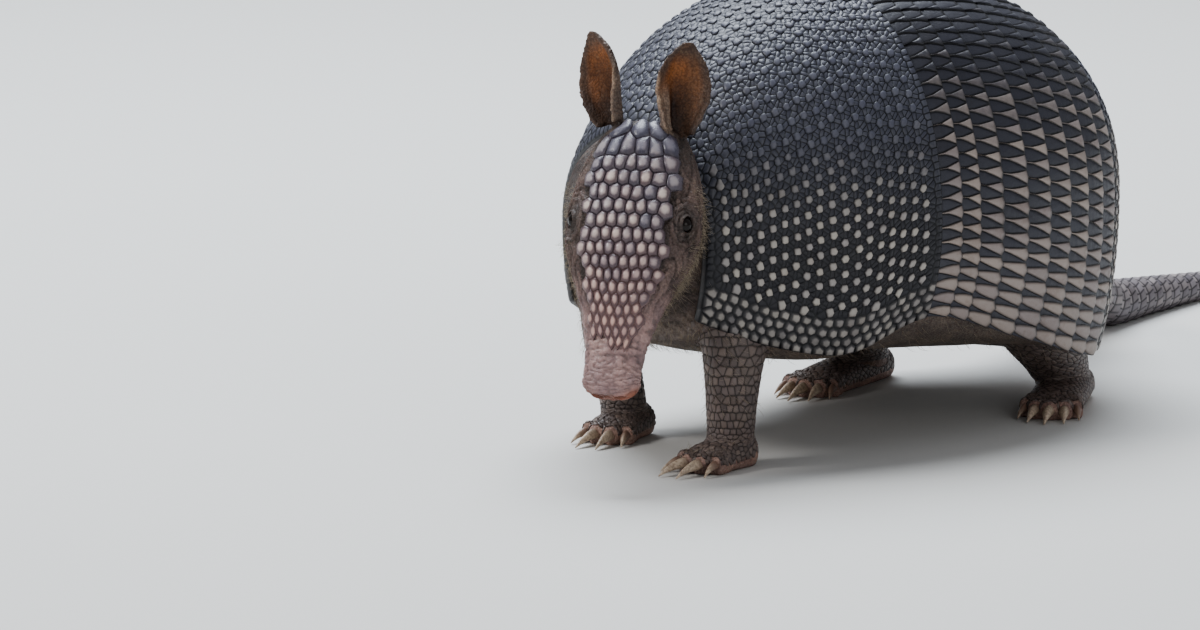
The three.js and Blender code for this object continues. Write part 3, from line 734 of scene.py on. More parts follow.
def shield(name, first, last, base, seed, drops):
    chance = random.Random(seed)
    points = shield_points(first, last, ROSETTE_SPACING, chance)
    low, high = (float(turn_at(first)), -1.0), (float(turn_at(last)), 1.0)
    half = float(np.interp((first + last) / 2, MAP_S, MAP_HALF))
    bm = cell_mesh(points, low, high, (MIRROR_REACH / half, MIRROR_REACH / half))
    pale, tint, dusk = scute_layers(bm, "pale", "tint", "dusk")
    order = bm.faces.layers.int["order"]
    groups = {CROWN: [], SMALL: [], SQUARE: []}
    for face in bm.faces:
        turn, share, kind = points[face[order]]
        place = float(distance_at(turn))
        height = float(arch(place, 0, side_at(place, share))[1])
        bleach = 1 - smoothstep(*BLEACH_HEIGHTS, height)
        face[pale] = {CROWN: 0.06 + 0.84 * bleach, SMALL: 0.05 * bleach,
                      SQUARE: 0.02 + 0.56 * bleach}[kind] + chance.gauss(0, 0.06)
        face[tint], face[dusk] = chance.random(), bleach
        groups[kind].append(face)
    raise_domes(bm, groups[CROWN], CROWN_DOME, 0.35)
    inset_cells(bm, groups[SMALL], 0.72, 0.46, 0.75)
    raise_domes(bm, groups[SQUARE], SQUARE_DOME, 0.2)
    outward(bm)
    skirt(bm, low, high, (1 / half, 1 / half), drops)
    flat = flat_corners(bm)
    place = distance_at(flat[:, 0])
    domes = flat[:, 2] * np.where(flat[:, 2] > 0, DOME_SHARE, 1)
    lift = np.interp(place, *base) + domes - CELL_SINK
    points = shell_point(place, lift, side_at(place, flat[:, 1]))
    made = finish_mesh(name, bm, points, flat[:, :2], SHELL)
    print(name, "cells", sum(map(len, groups.values())), "triangles", triangles(made))
    return made


print("steps to a dome:", len(CROWN_DOME))

# %% Make both shields
RIM_STEPS = [(0.5, 0.5, 0.5), (0.5, 1.1, 0.5), (-0.6, 0.9, 0.4), (-7.0, 0.4, 0.0)]
scapular = shield("scapular_shield_scutes", 0, SHIELD_END + BAND_LIP,
                  ([0, 3, 82, SHIELD_END + BAND_LIP], [-1.2, 0, 0, 1.2]),
                  11, RIM_STEPS)
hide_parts("scapular_shield")
pelvic = shield("pelvic_shield_scutes", PELVIS_START + GAP, SHELL_END,
                ([PELVIS_START, SHELL_END - 4, SHELL_END], [0, 0, -1.0]), 12, RIM_STEPS)
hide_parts("pelvic_shield")

# %% [markdown]
# ## Bands
# Nine bands lie between the shields, and let the living animal bend. In each, pale three-sided
# scutes with the point forwards stand between dark ones. Towards the belly the pale ones widen
# into rounded tabs. A grid whose lines between scutes are pushed sideways gives both at once.

# %% One band's zigzag
SCUTES_ACROSS = 60
BAND_COLUMNS = [0.0, 0.40, 0.72, 1.0]
# Half widths of pale scutes at those columns: on the flank, at the belly and on the back.
SLIM, BROAD = [0.004, 0.030, 0.225, 0.43], [0.10, 0.35, 0.455, 0.475]
THIN = [0.003, 0.02, 0.10, 0.21]


def pale_width(column, share):
    """Half width of a pale scute at each column of its length, as a share of its room."""
    belly = smoothstep(0.70, 0.97, abs(share))
    back = 1 - smoothstep(0.12, 0.50, abs(share))
    width = SLIM[column] + (BROAD[column] - SLIM[column]) * belly
    return width + (THIN[column] - width) * back


def zigzag(length, chance):
    """A flat strip of cells, pale and dark in turn, with zigzag borders."""
    bm = bmesh.new()
    bmesh.ops.create_grid(bm, x_segments=3, y_segments=SCUTES_ACROSS * 2, size=0.5)
    pitch = 2 / SCUTES_ACROSS
    jog = [chance.gauss(0, 0.03) for _ in range(SCUTES_ACROSS + 1)]
    for vert in bm.verts:
        column = round((vert.co.x + 0.5) * 3)
        border = round((vert.co.y + 0.5) * SCUTES_ACROSS * 2)
        scute, sign = border // 2, (border % 2) * 2 - 1
        middle = -1 + (scute + 0.5) * pitch
        share = middle + sign * (pale_width(column, middle) + jog[scute] * (column > 0)) * pitch
        if border in (0, SCUTES_ACROSS * 2):
            share = math.copysign(1, border - 1)
        vert.co = (BAND_COLUMNS[column] * length, share, 0)
    across = [e for e in bm.edges if len(e.link_faces) == 2 and not e.is_boundary
              and abs(e.verts[0].co.x - e.verts[1].co.x) < 0.01]
    bmesh.ops.dissolve_edges(bm, edges=across, use_verts=False)
    return bm


def round_tabs(bm, faces, length):
    """Gives each pale scute a rounded rear edge."""
    rear = [e for f in faces for e in f.edges if min(v.co.x for v in e.verts) > length - 0.01]
    made = bmesh.ops.subdivide_edges(bm, edges=rear, cuts=1)["geom_inner"]
    for vert in (g for g in made if isinstance(g, bmesh.types.BMVert)):
        vert.co.x += 0.25 + 1.0 * float(smoothstep(0.5, 0.95, abs(vert.co.y)))


print("room for each pair of scutes:", round(2 / SCUTES_ACROSS, 4), "of the arch")

# %% [markdown]
# ## Band after band
# Each band rises a little to its rear edge and hangs over the next one, like tiles on a roof. The
# pale scutes bleach down the flanks, and chance gives each its own tint.

# %% Bands
LIP_STEPS = [(0.25, 0.35, 0.5), (0.0, 0.55, 0.3), (-3.0, 0.3, 0.0)]
BAND_BLEACH_HEIGHTS = (112, 170)


def band(index):
    chance = random.Random(30 + index)
    start, length = SHIELD_END + index * BAND_PITCH, BAND_PITCH + BAND_LIP
    bm = zigzag(length, chance)
    pale, tint = scute_layers(bm, "pale", "tint")
    cells = sorted(bm.faces, key=lambda f: f.calc_center_median().y)
    lights, darks = cells[0::2], cells[1::2]
    round_tabs(bm, lights, length)
    for face in cells:
        share = face.calc_center_median().y
        height = float(arch(start + 5, 0, side_at(start + 5, share))[1])
        bleach = 1 - smoothstep(*BAND_BLEACH_HEIGHTS, height)
        face[pale] = 0.02 + chance.gauss(0, 0.04)
        face[tint] = chance.random()
        if face in lights:
            face[pale] = 0.14 + 0.74 * bleach + chance.gauss(0, 0.08)
    raise_domes(bm, lights, ((0.88, 0.50, 0.45), (0.84, 0.85, 0.8), (0.60, 1.0, 1.0)))
    raise_domes(bm, darks, ((0.84, 0.22, 0.5), (0.70, 0.34, 1.0)))
    outward(bm)
    half = float(np.interp(start, MAP_S, MAP_HALF))
    skirt(bm, (0, -1), (length, 1), (1, 1 / half), LIP_STEPS, rim_depth=2.2)
    flat = flat_corners(bm)
    place = start + flat[:, 0]
    lift = BAND_RISE * flat[:, 0] / length + flat[:, 2] - 0.5
    points = shell_point(place, lift, side_at(place, flat[:, 1]))
    made = finish_mesh(f"band_{index + 1}_scutes", bm, points, flat[:, :2], BANDS)
    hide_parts(f"band_{index + 1}")
    return made


bands = [band(i) for i in range(BAND_COUNT)]
print("bands", len(bands), "triangles each", triangles(bands[0]))

# %% [markdown]
# ## The shield on the face
# Irregular many-sided scutes cover the forehead and narrow down the muzzle. They are longer than
# wide, so the same cells are made in a map squeezed along the face and drawn out again after.

# %% Where the face's scutes stand
def face_level(distance, left):
    """The height of the head's upper side over its axis."""
    middle = along(HEAD_STATIONS, 3, distance)
    above = along(HEAD_STATIONS, 2, distance) - middle
    share = np.minimum(np.abs(left) / along(HEAD_STATIONS, 1, distance), 1)
    return middle + above * (1 - share**HEAD_POWER) ** (1 / HEAD_POWER)


FACE_STRETCH = 1.45     # a scute's length to its width
FACE_SIZES = ([5, 18, 45, 70, 97], [7.0, 5.2, 4.7, 3.9, 3.1])
FACE_SIDE = 16.0        # half width of the flat map, whatever the face's own width


def face_points(chance):
    """Middles of the face's scutes, and of the cells just outside its outline."""
    points, outside = [], []
    place, row = -4.0, -1
    while place < 106:
        half = float(along(FACE_STATIONS, 1, place))
        size = float(np.interp(place, *FACE_SIZES))
        across = math.ceil(half / size) + 2
        for j in range(-across, across + 1):
            left = (j + 0.5 * (row % 2)) * size + chance.gauss(0, 0.10) * size
            vee = 0.16 * (abs(left) - half / 2) * smoothstep(55, 75, place)
            spot = float(place - vee) + chance.gauss(0, 0.10) * size
            inside = abs(left) < half - 0.35 * size and 2 < spot < 97 - 0.25 * abs(left)
            flat = (spot / FACE_STRETCH, left / half * FACE_SIDE)
            (points if inside else outside).append(flat)
        place, row = place + size * ROW_SHARE * FACE_STRETCH, row + 1
    return points, outside


print("scutes on the face:", len(face_points(random.Random(1))[0]))

# %% [markdown]
# ## Face scutes on the head
# The face's scutes are steep at the edge and flat on top, so their dome has more steps. Towards
# the nose they flatten and turn pink, and at its outline the shield sinks into the skin.

# %% Face shield
FACE_PALES = ([5, 14, 24, 60, 97], [0.05, 0.28, 0.60, 0.74, 0.80])
FACE_LIFT = 1.25
FACE_DOME = ((0.93, 0.34, 0.14), (0.89, 0.68, 0.34), (0.84, 0.98, 0.56), (0.76, 1.22, 0.76),
             (0.64, 1.38, 0.92), (0.45, 1.45, 1.0))


def face_shield():
    chance = random.Random(5)
    points, outside = face_points(chance)
    low, high = ((FACE_STATIONS[i][0] / FACE_STRETCH, side)
                 for i, side in ((0, -FACE_SIDE), (-1, FACE_SIDE)))
    bm = cell_mesh(points, low, high, (9, 9), outside)
    pale, tint, pink = scute_layers(bm, "pale", "tint", "pink")
    order = bm.faces.layers.int["order"]
    cells = list(bm.faces)
    for face in cells:
        place = points[face[order]][0] * FACE_STRETCH
        face[pale] = float(np.interp(place, *FACE_PALES)) + chance.gauss(0, 0.13)
        face[tint] = chance.random()
    bmesh.ops.subdivide_edges(bm, edges=bm.edges[:], cuts=1)
    raise_domes(bm, cells, FACE_DOME, 0.22)
    outward(bm)
    skirt(bm, low, high, (1, 1), [(0.0, 0.5, 0.3), (0.0, 2.2, 0.4)])
    for face in bm.faces:
        face[pink] = 0.8 * float(smoothstep(36, 96, face.calc_center_median().x * FACE_STRETCH))
    flat = flat_corners(bm)
    place = np.clip(flat[:, 0] * FACE_STRETCH, 0.4, 110)
    half = along(FACE_STATIONS, 1, np.clip(place, 2, 99))
    across = flat[:, 1] / FACE_SIDE
    left = across * half
    dome = 1 - 0.65 * smoothstep(60, 98, place)
    sink = np.maximum(smoothstep(0.70, 1.0, np.abs(across)), smoothstep(80, 97, place))
    up = face_level(place, left) + FACE_LIFT - sink + flat[:, 2] * dome
    made = finish_mesh("face_shield_scutes", bm, head_point(place, left, up), flat[:, :2], FACE)
    made.data.set_sharp_from_angle(angle=60 * DEG)
    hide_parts("head_shield")
    print("face shield cells", len(cells), "triangles", triangles(made))


face_shield()

# %% [markdown]
# ## Tail
# The tail drops from the shell in a bend and then lies along the floor. Its middle line and its
# radius are formulas, so rings can be laid on it at any place.

# %% The tail's line
def tail_radius(share):
    return TAIL_TIP_RADIUS + (TAIL_BASE_RADIUS - TAIL_TIP_RADIUS) * (1 - share) ** 1.2


def tail_middle(share):
    distance = SHELL_END + share * TAIL_LENGTH * 0.97
    sweep = math.tan(TAIL_TURN) * (distance - SHELL_END) * share
    rest = tail_radius(share) - TAIL_FLAT
    drop = smoothstep(0, TAIL_DROP_SHARE, share)
    height = TAIL_BASE_LEVEL + (rest - TAIL_BASE_LEVEL) * drop
    return body_point(distance, sweep, np.maximum(height, rest))


def tail_point(share, angle, lift):
    """A point on the tail: share of its length, angle round from the top, lift off its skin."""
    inside = np.clip(share, 0.0, 1.0)
    step = 0.004
    axis = tail_middle(np.minimum(inside + step, 1)) - tail_middle(np.maximum(inside - step, 0))
    axis /= np.linalg.norm(axis, axis=-1, keepdims=True)
    left = np.cross([0, 0, 1.0], axis)
    left /= np.linalg.norm(left, axis=-1, keepdims=True)
    up = np.cross(axis, left)
    radius = (tail_radius(inside) + lift)[..., None]
    made = tail_middle(inside) + left * radius * np.sin(angle)[..., None]
    made = made + up * radius * np.cos(angle)[..., None]
    made[..., 2] = np.maximum(made[..., 2], 0.0)
    return made


print("tail's middle at its tip:", tail_middle(1.0).round(1))

# %% [markdown]
# ## Tail rings
# The tail is clad in rings. A ring has a row of small scutes in front and a row of larger ones
# behind, and its rear edge stands a little over the next ring. Each ring is a flat grid rolled
# round the tail, with fewer scutes in it as the tail thins. Chance tints them in a fixed order, so
# each run gives the same tail.

# %% Tail rings
RING_PLACES = [-0.12, 0.0, 0.42, 1.06, 1.07]
RING_LIFTS = [-1.0, -0.25, 0.0, 0.55, -0.4]
RING_LENGTH, RING_NARROWING, LAST_RING = 12.0, 5.5, 0.965
SCUTE_WIDTH, SCUTE_NARROWING = 4.6, 1.4


def tail_rings():
    chance = random.Random(8)
    bm = bmesh.new()
    pale, tint = scute_layers(bm, "pale", "tint")
    level = bm.verts.layers.float["rise"]
    start, ring = 0.0, 0
    while start < LAST_RING:
        pitch = (RING_LENGTH - RING_NARROWING * start) / TAIL_LENGTH
        radius = float(tail_radius(start))
        around = max(round(2 * math.pi * radius / (SCUTE_WIDTH - SCUTE_NARROWING * start)), 7)
        made = bmesh.ops.create_grid(bm, x_segments=4, y_segments=around, size=0.5)["verts"]
        faces = dict.fromkeys(f for v in made for f in v.link_faces)
        for vert in made:
            column = round((vert.co.x + 0.5) * 4)
            turn = vert.co.y + 0.5 + (0.5 / around) * (column > 2)
            vert.co = (start + RING_PLACES[column] * pitch, turn + ring * 2,
                       RING_LIFTS[column] * (1 - 0.5 * start))
            vert[level] = [0, 0, 0, 0.2, 0][column]
        rows = ([], [])
        for face in faces:
            place = (face.calc_center_median().x - start) / pitch
            face[tint] = chance.random()
            face[pale] = chance.gauss(0.35, 0.12)
            if 0 < place < 1.06:
                rows[place > 0.42].append(face)
        for row, deep in zip(rows, (0.22, 0.34)):
            tail_cells(bm, row, deep * (1 - 0.5 * start))
        start, ring = start + pitch, ring + 1
    return bm


print("a ring is clad by", len(RING_PLACES) - 1, "columns of faces")

# %% Scutes on the rings
def tail_cells(bm, faces, lift):
    """Raises scutes of a ring in two steps, in millimetres over the ring."""
    level = bm.verts.layers.float["rise"]
    for share, up, rise in ((0.82, 0.8, 0.6), (0.66, 1.0, 1.0)):
        bmesh.ops.inset_individual(bm, faces=faces, thickness=0, use_even_offset=False)
        for face in faces:
            middle = face.calc_center_median()
            for vert in face.verts:
                vert.co = middle + (vert.co - middle) * share
                vert.co.z += lift * (up if share > 0.7 else up - 0.8)
                vert[level] = rise


def tail():
    bm = tail_rings()
    outward(bm)
    flat = flat_corners(bm)
    angle = (flat[:, 1] % 2) * 2 * math.pi
    points = tail_point(flat[:, 0], angle, flat[:, 2] - 0.3)
    unwrap = np.stack([flat[:, 0], flat[:, 1] % 2], axis=1)
    made = finish_mesh("tail_scutes", bm, points, unwrap, TAIL)
    print("tail triangles", triangles(made))


tail()

# %% [markdown]
# ## The skin
# An animal has one skin with no joins. It could be sculpted from a ball, but here smooth bodies
# for the head, ears, neck, trunk, tail, legs and feet are made from the same tables as the
# solids. Together they are remeshed into one skin, which is then smoothed.

# %% Dimensions of ears, legs and feet
ARCH_SHARE = 14 / 21    # of the way round the trunk that the shell covers
EAR_STATIONS = [  # share of the height, half width, half angle that the ear curls through
    [0, 11, 2.1], [0.2, 14, 1.75], [0.45, 15.2, 1.3], [0.7, 12, 1.0], [0.88, 6.6, 0.8],
    [1, 1.6, 0.6],
]
EARS = {  # place of the root, height, lean to the left and back, turn of the opening
    "left": ([4.5, 14, -8], 38, (0.1, 0.16), 24 * DEG),
    "right": ([0.5, -13, -9], 39, (-0.34, 0.12), -34 * DEG),
}
LEGS = {  # side, then distance, out, height, half depth and half width at each station
    "front_left": (1, [[30, 32, 84, 20, 15], [24, 36, 60, 17, 13], [18, 40, 36, 12, 10.5],
                       [15, 42, 16, 9.5, 9.5], [14, 42, 7, 9.5, 9.5]]),
    "front_right": (-1, [[28, 32, 84, 20, 15], [22, 36, 60, 15, 12], [25, 39, 36, 11.5, 10.5],
                         [32, 41, 16, 9.5, 9.5], [33, 41, 7, 9.5, 9.5]]),
    "hind_left": (1, [[196, 38, 84, 34, 16], [188, 46, 56, 33, 17], [190, 49, 34, 30, 16],
                      [205, 50, 17, 20, 12.5], [214, 50, 8, 14, 11]]),
    "hind_right": (-1, [[206, 38, 84, 34, 16], [200, 44, 56, 33, 17], [206, 46, 34, 28, 16],
                        [223, 46, 17, 19, 12.5], [232, 46, 8, 14, 11]]),
}
# Each toe: offset to the left, length, half width, length of the claw, fan in degrees.
FORE_TOES = [[-8, 5, 3.2, 9, -14], [-2.9, 9, 3.9, 14, -4], [3.1, 9, 3.9, 14, 4],
             [8.2, 5, 3.3, 9, 15]]
HIND_TOES = [[-10, 4, 3.2, 7, -16], [-5.4, 8, 3.8, 11, -7], [0, 10, 4, 13, 0], [5.4, 8, 3.8, 11, 7],
             [10, 3, 3.2, 7, 17]]
FEET = {  # distance of the heel, out, length, half width, height, splay, toes
    "front_left": (17, 42, 19, 11, 15, 6, FORE_TOES),
    "front_right": (37, -41, 19, 11, 15, 20, FORE_TOES),
    "hind_left": (226, 50, 56, 12.5, 15, 9, HIND_TOES),
    "hind_right": (246, -46, 56, 12.5, 15, -9, HIND_TOES),
}
print("toes:", {name: len(foot[-1]) for name, foot in FEET.items()})

# %% [markdown]
# ## Lofts
# A loft is a skin over rings, like paper over the ribs of a lantern. Here a flat grid is rolled
# up: one side of it runs round each ring, the other runs from ring to ring.

# %% Loft
def loft(around, steps, ring):
    """A closed mesh through rings: ring(share, angle) gives points in millimetres."""
    bm = bmesh.new()
    bmesh.ops.create_grid(bm, x_segments=steps, y_segments=around, size=0.5)
    flat = flat_corners(bm)
    points = ring(flat[:, 0] + 0.5, (flat[:, 1] + 0.5) * 2 * math.pi)
    for vert, point in zip(bm.verts, points * MM):
        vert.co = point
    bmesh.ops.remove_doubles(bm, verts=bm.verts[:], dist=1e-6)
    bmesh.ops.holes_fill(bm, edges=[e for e in bm.edges if e.is_boundary])
    bmesh.ops.recalc_face_normals(bm, faces=bm.faces[:])
    return bm


print("lofts are closed at both ends")

# %% [markdown]
# ## Trunk, head and neck
# The trunk follows the shell's arch from inside and is closed below by the belly. The neck blends
# a ring of the trunk into a ring of the head, as a real neck does.

# %% Rings of trunk, head and neck
def body_ring(distance, inset, belly_rise, angle):
    """A ring round the trunk: the arch over the back, then the belly from rim to rim."""
    share = (np.asarray(angle) / (2 * math.pi)) % 1
    left, height = arch(distance, -inset, np.minimum(share / ARCH_SHARE, 1) * 2 - 1)
    rim_left, rim_height = arch(distance, -inset, 1.0)
    turn = np.maximum(share - ARCH_SHARE, 0) / (1 - ARCH_SHARE) * math.pi
    belly = along(BODY_STATIONS, 5, distance) + belly_rise
    depth = np.maximum(rim_height - belly, 1)
    under = share > ARCH_SHARE
    left = np.where(under, rim_left * np.cos(turn), left)
    height = np.where(under, rim_height - depth * np.sin(turn), height)
    return body_point(distance, left, height)


def trunk_ring(share, angle):
    return body_ring(2 + share * 287, SHELL_THICKNESS + GAP, 0.0, angle)


def head_ring(share, angle):
    distance = share * HEAD_LENGTH
    middle = along(HEAD_STATIONS, 3, distance)
    above = along(HEAD_STATIONS, 2, distance) - middle
    below = middle - along(HEAD_STATIONS, 4, distance)
    across, up = (signed_power(f(angle), 2 / HEAD_POWER) for f in (np.sin, np.cos))
    half = along(HEAD_STATIONS, 1, distance) * (1 - 0.10 * np.maximum(-up, 0))
    return head_point(distance, half * across, middle + np.where(up > 0, above, below) * up)


def neck_ring(share, angle):
    """A ring of the neck, from the trunk's first ring to one inside the head."""
    start, bend, end = body_point(2.7, 0, 92), body_point(-16, 4, 98), head_point(24, 0, -22)
    t = share[:, None]
    route = start * (1 - t) ** 2 + bend * 2 * t * (1 - t) + end * t**2
    axis = (end - bend) / np.linalg.norm(end - bend)
    left = np.cross([0, 0, 1.0], axis)
    left /= np.linalg.norm(left)
    up = np.cross(axis, left)
    rear = body_ring(2.7, SHELL_THICKNESS + 1.5, 2.0, angle + ARCH_SHARE * math.pi) - start
    tip = left * 23 * np.sin(angle)[:, None] + up * 22 * np.cos(angle)[:, None]
    return route + rear * (1 - t) + tip * t


print("low side of the trunk:", along(BODY_STATIONS, 5, 145).round(1), "mm")

# %% [markdown]
# ## Ears
# An ear is a leaf rolled round an upright axis, most at its root and least at its tip. Each ring
# runs round the outside of the leaf and back along its inside, so the ear has its thickness.

# %% Rings of the ears
def ear_frame(side):
    """Root, the directions up, sideways and into the ear, and the ear's height."""
    place, height, lean, opening = EARS[side]
    facing = HEAD_HEADING + opening
    front = np.array([math.sin(facing), -math.cos(facing), 0])
    rise = np.array([0, 0, 1.0]) + HEAD_LEFT * lean[0] - HEAD_FORWARD * lean[1]
    rise /= np.linalg.norm(rise)
    sideways = np.cross(rise, front)
    sideways /= np.linalg.norm(sideways)
    return head_point(*place), rise, sideways, np.cross(sideways, rise), height


def ear_curl(share):
    """The half angle that the ear curls through, and the radius of that curl."""
    curl = along(EAR_STATIONS, 2, share)
    return curl, along(EAR_STATIONS, 1, share) / curl


def ear_ring(side):
    root, rise, sideways, outward_axis, height = ear_frame(side)

    def ring(share, angle):
        curl, radius = ear_curl(share)
        part = angle / math.pi
        turn = np.where(part < 1, -curl + 2 * curl * part, curl - 2 * curl * (part - 1))
        thick = 1.15 * np.sqrt(np.clip(1 - (2 * (part % 1) - 1) ** 8, 0.15, 1))
        wave = 0.35 * np.sin(share * 34 + turn) * smoothstep(0.6, 1, np.abs(turn) / curl)
        skin = radius + np.where(part < 1, thick, -thick) + wave
        return (root + (share * height)[:, None] * rise + (skin * np.sin(turn))[:, None] * sideways
                + (radius * 0.6 - skin * np.cos(turn))[:, None] * outward_axis)

    return ring


print("the ear's curl half way up:", np.round(ear_curl(0.5), 2))

# %% [markdown]
# ## Tail, legs and feet
# A leg is a stack of ellipses from a table. A foot is a flat-soled pad with a smaller one for each
# toe, and the toes get a little thicker at the knuckles.

# %% Rings of tail, legs and feet
def tail_ring(share, angle):
    return tail_point(share, angle, np.full(share.shape, -0.9))


def leg_ring(side, rows):
    table = [[i / (len(rows) - 1), *body_point(r[0], side * r[1], r[2]), r[3], r[4]]
             for i, r in enumerate(rows)]
    heading = float(spine(rows[0][0])[2])
    fore = np.array([-math.sin(heading), -math.cos(heading), 0])
    left = np.cross([0, 0, 1.0], fore)

    def ring(share, angle):
        centre = np.stack([along(table, k, share) for k in (1, 2, 3)], axis=1)
        deep, wide = along(table, 4, share), along(table, 5, share)
        return (centre + (deep * np.cos(angle))[:, None] * fore
                + (wide * np.sin(angle))[:, None] * left)

    return ring


def foot_frame(name):
    """The heel, and the directions to the front and to the left of the foot."""
    distance, out, _, _, _, splay, _ = FEET[name]
    heading = float(spine(distance)[2])
    fore = np.array([-math.sin(heading), -math.cos(heading), 0])
    turn = splay * DEG
    fore = fore * math.cos(turn) + np.cross([0, 0, 1.0], fore) * math.sin(turn)
    return body_point(distance, out, 0.0), fore, np.cross([0, 0, 1.0], fore)


def pad_ring(name, start, end, halves, heights, knuckle=0.0):
    heel, fore, left = foot_frame(name)

    def ring(share, angle):
        close = np.sqrt(np.maximum(1 - (2 * share - 1) ** 8, 0.12))
        joint = 1 + knuckle * np.sin(share * 3 * math.pi) * smoothstep(0.25, 0.5, share)
        half = (halves[0] + (halves[1] - halves[0]) * share) * close * joint
        high = (heights[0] + (heights[1] - heights[0]) * share) * (0.5 + 0.5 * close) * joint
        ahead = start[0] + (end[0] - start[0]) * share
        aside = start[1] + (end[1] - start[1]) * share + half * signed_power(np.sin(angle), 0.85)
        up = high * (0.42 + 0.58 * signed_power(np.cos(angle), 0.85))
        made = heel + ahead[:, None] * fore + aside[:, None] * left
        made[:, 2] = np.maximum(up, 0)
        return made

    return ring


def toe_end(length, toe):
    """How far ahead and to the left of the heel a toe ends."""
    fan = toe[4] * DEG
    return length + toe[1] * math.cos(fan), toe[0] + toe[1] * math.sin(fan)


print("the heels:", [foot_frame(name)[0].round().tolist() for name in FEET])

# %% [markdown]
# ## One mesh of many bodies
# Joined bodies only lie in each other. The Remesh modifier turns them into one closed surface of
# small even squares, and the Smooth modifier rounds the creases between them like clay.

# %% Bodies for the skin
PAD_HIGH, TOE_HIGH = 10, 7.4


def foot_pads(name):
    """The rings of the foot's pad and of its toes."""
    _, _, length, half, high, _, toes = FEET[name]
    rings = [pad_ring(name, (-8, 0), (length + 2, 0), (half * 0.86, half), (high, PAD_HIGH))]
    for toe in toes:
        halves = (toe[2] * 0.95, toe[2] * 0.92)
        rings.append(pad_ring(name, (length - 7, toe[0] * 0.9), toe_end(length, toe), halves,
                              (PAD_HIGH, TOE_HIGH), 0.10))
    return rings


def foot_bodies(name):
    pad, *toes = foot_pads(name)
    return [loft(40, 40, pad), *(loft(24, 24, toe) for toe in toes)]


def skin_bodies():
    bodies = [loft(84, 150, trunk_ring), loft(96, 120, head_ring), loft(64, 40, neck_ring),
              loft(40, 260, tail_ring)]
    bodies += [loft(96, 64, ear_ring(side)) for side in EARS]
    for name, (side, rows) in LEGS.items():
        bodies.append(loft(40, 40, leg_ring(side, rows)))
        bodies += foot_bodies(name)
    return bodies


def join_meshes(name, bodies):
    whole = bmesh.new()
    for body in bodies:
        mesh = bpy.data.meshes.new("part")
        body.to_mesh(mesh)
        body.free()
        whole.from_mesh(mesh)
        bpy.data.meshes.remove(mesh)
    mesh = bpy.data.meshes.new(name)
    whole.to_mesh(mesh)
    whole.free()
    return add_object(name, mesh)


print("pads of a hind foot:", len(foot_pads("hind_left")))

# %% Remesh them into one skin
def apply_modifiers(thing):
    """Replaces the object's mesh by the one its modifiers give."""
    graph = bpy.context.evaluated_depsgraph_get()
    mesh = bpy.data.meshes.new_from_object(thing.evaluated_get(graph))
    thing.modifiers.clear()
    old, thing.data = thing.data, mesh
    bpy.data.meshes.remove(old)


VOXEL = 1.0 * MM
skin = join_meshes("skin", skin_bodies())
remesh = skin.modifiers.new("remesh", "REMESH")
remesh.mode, remesh.voxel_size = "VOXEL", VOXEL
smooth = skin.modifiers.new("smooth", "SMOOTH")
smooth.factor, smooth.iterations = 0.5, 6
apply_modifiers(skin)
print("skin faces after the remesh:", len(skin.data.polygons))

# %% [markdown]
# ## Where a point of the skin lies
# After the remesh the points have no order any more. To shape or colour a region, the script has
# to ask each point where it lies on the body, on the head, round an ear or round an eye. These
# functions undo the ones that made the places.

# %% Places along the spine and on the head
def mesh_vectors(mesh, key):
    flat = np.empty(len(mesh.vertices) * 3)
    mesh.vertices.foreach_get(key, flat)
    return flat.reshape(-1, 3)


def mesh_points(mesh):
    return mesh_vectors(mesh, "co") / MM


def spine_places(points):
    """The distance along the spine and the offset to the left of points in millimetres."""
    x, y = points[:, 0] - SHIFT[0], points[:, 1] - SHIFT[1]
    bend = (REAR_HEADING - FRONT_HEADING) / (BEND_END - BEND_START)
    front = x * math.sin(FRONT_HEADING) + y * math.cos(FRONT_HEADING)
    front_left = x * math.cos(FRONT_HEADING) - y * math.sin(FRONT_HEADING)
    turn_x, turn_y, _ = spine(BEND_START)
    turn_x += math.cos(FRONT_HEADING) / bend
    turn_y -= math.sin(FRONT_HEADING) / bend
    heading = np.arctan2(-(y - turn_y), x - turn_x)
    arc = BEND_START + (heading - FRONT_HEADING) / bend
    arc_left = np.hypot(x - turn_x, y - turn_y) - 1 / abs(bend)
    end_x, end_y, _ = spine(BEND_END)
    rear = (x - end_x) * math.sin(REAR_HEADING) + (y - end_y) * math.cos(REAR_HEADING)
    rear_left = (x - end_x) * math.cos(REAR_HEADING) - (y - end_y) * math.sin(REAR_HEADING)
    place = np.where(front < BEND_START, front, np.where(rear > 0, BEND_END + rear, arc))
    left = np.where(front < BEND_START, front_left, np.where(rear > 0, rear_left, arc_left))
    return place, left


def head_places(points):
    """The distance along the head, the offset to its left and the height over its axis."""
    away = points - SHIFT - HEAD_BACK
    return away @ HEAD_AXIS, away @ HEAD_LEFT, away @ HEAD_TOP


print("from", spine_places(mesh_points(skin.data))[0].min().round(), "mm along the spine")

# %% Places round the ears and eyes
EYE_SIDES = {"left": 1, "right": -1}


def ear_places(points, side):
    """Height up the ear, and turn and radius round its curl, for points near it."""
    root, rise, sideways, outward_axis, height = ear_frame(side)
    away = points - root
    up = (away @ rise) / height
    radius = ear_curl(up)[1]
    x, y = away @ sideways, radius * 0.6 - away @ outward_axis
    near = (up > -0.08) & (up < 1.1) & (np.abs(x) < 19) & (np.abs(y) < 19)
    return np.where(near, up, -1), np.arctan2(x, y), np.hypot(x, y) - radius


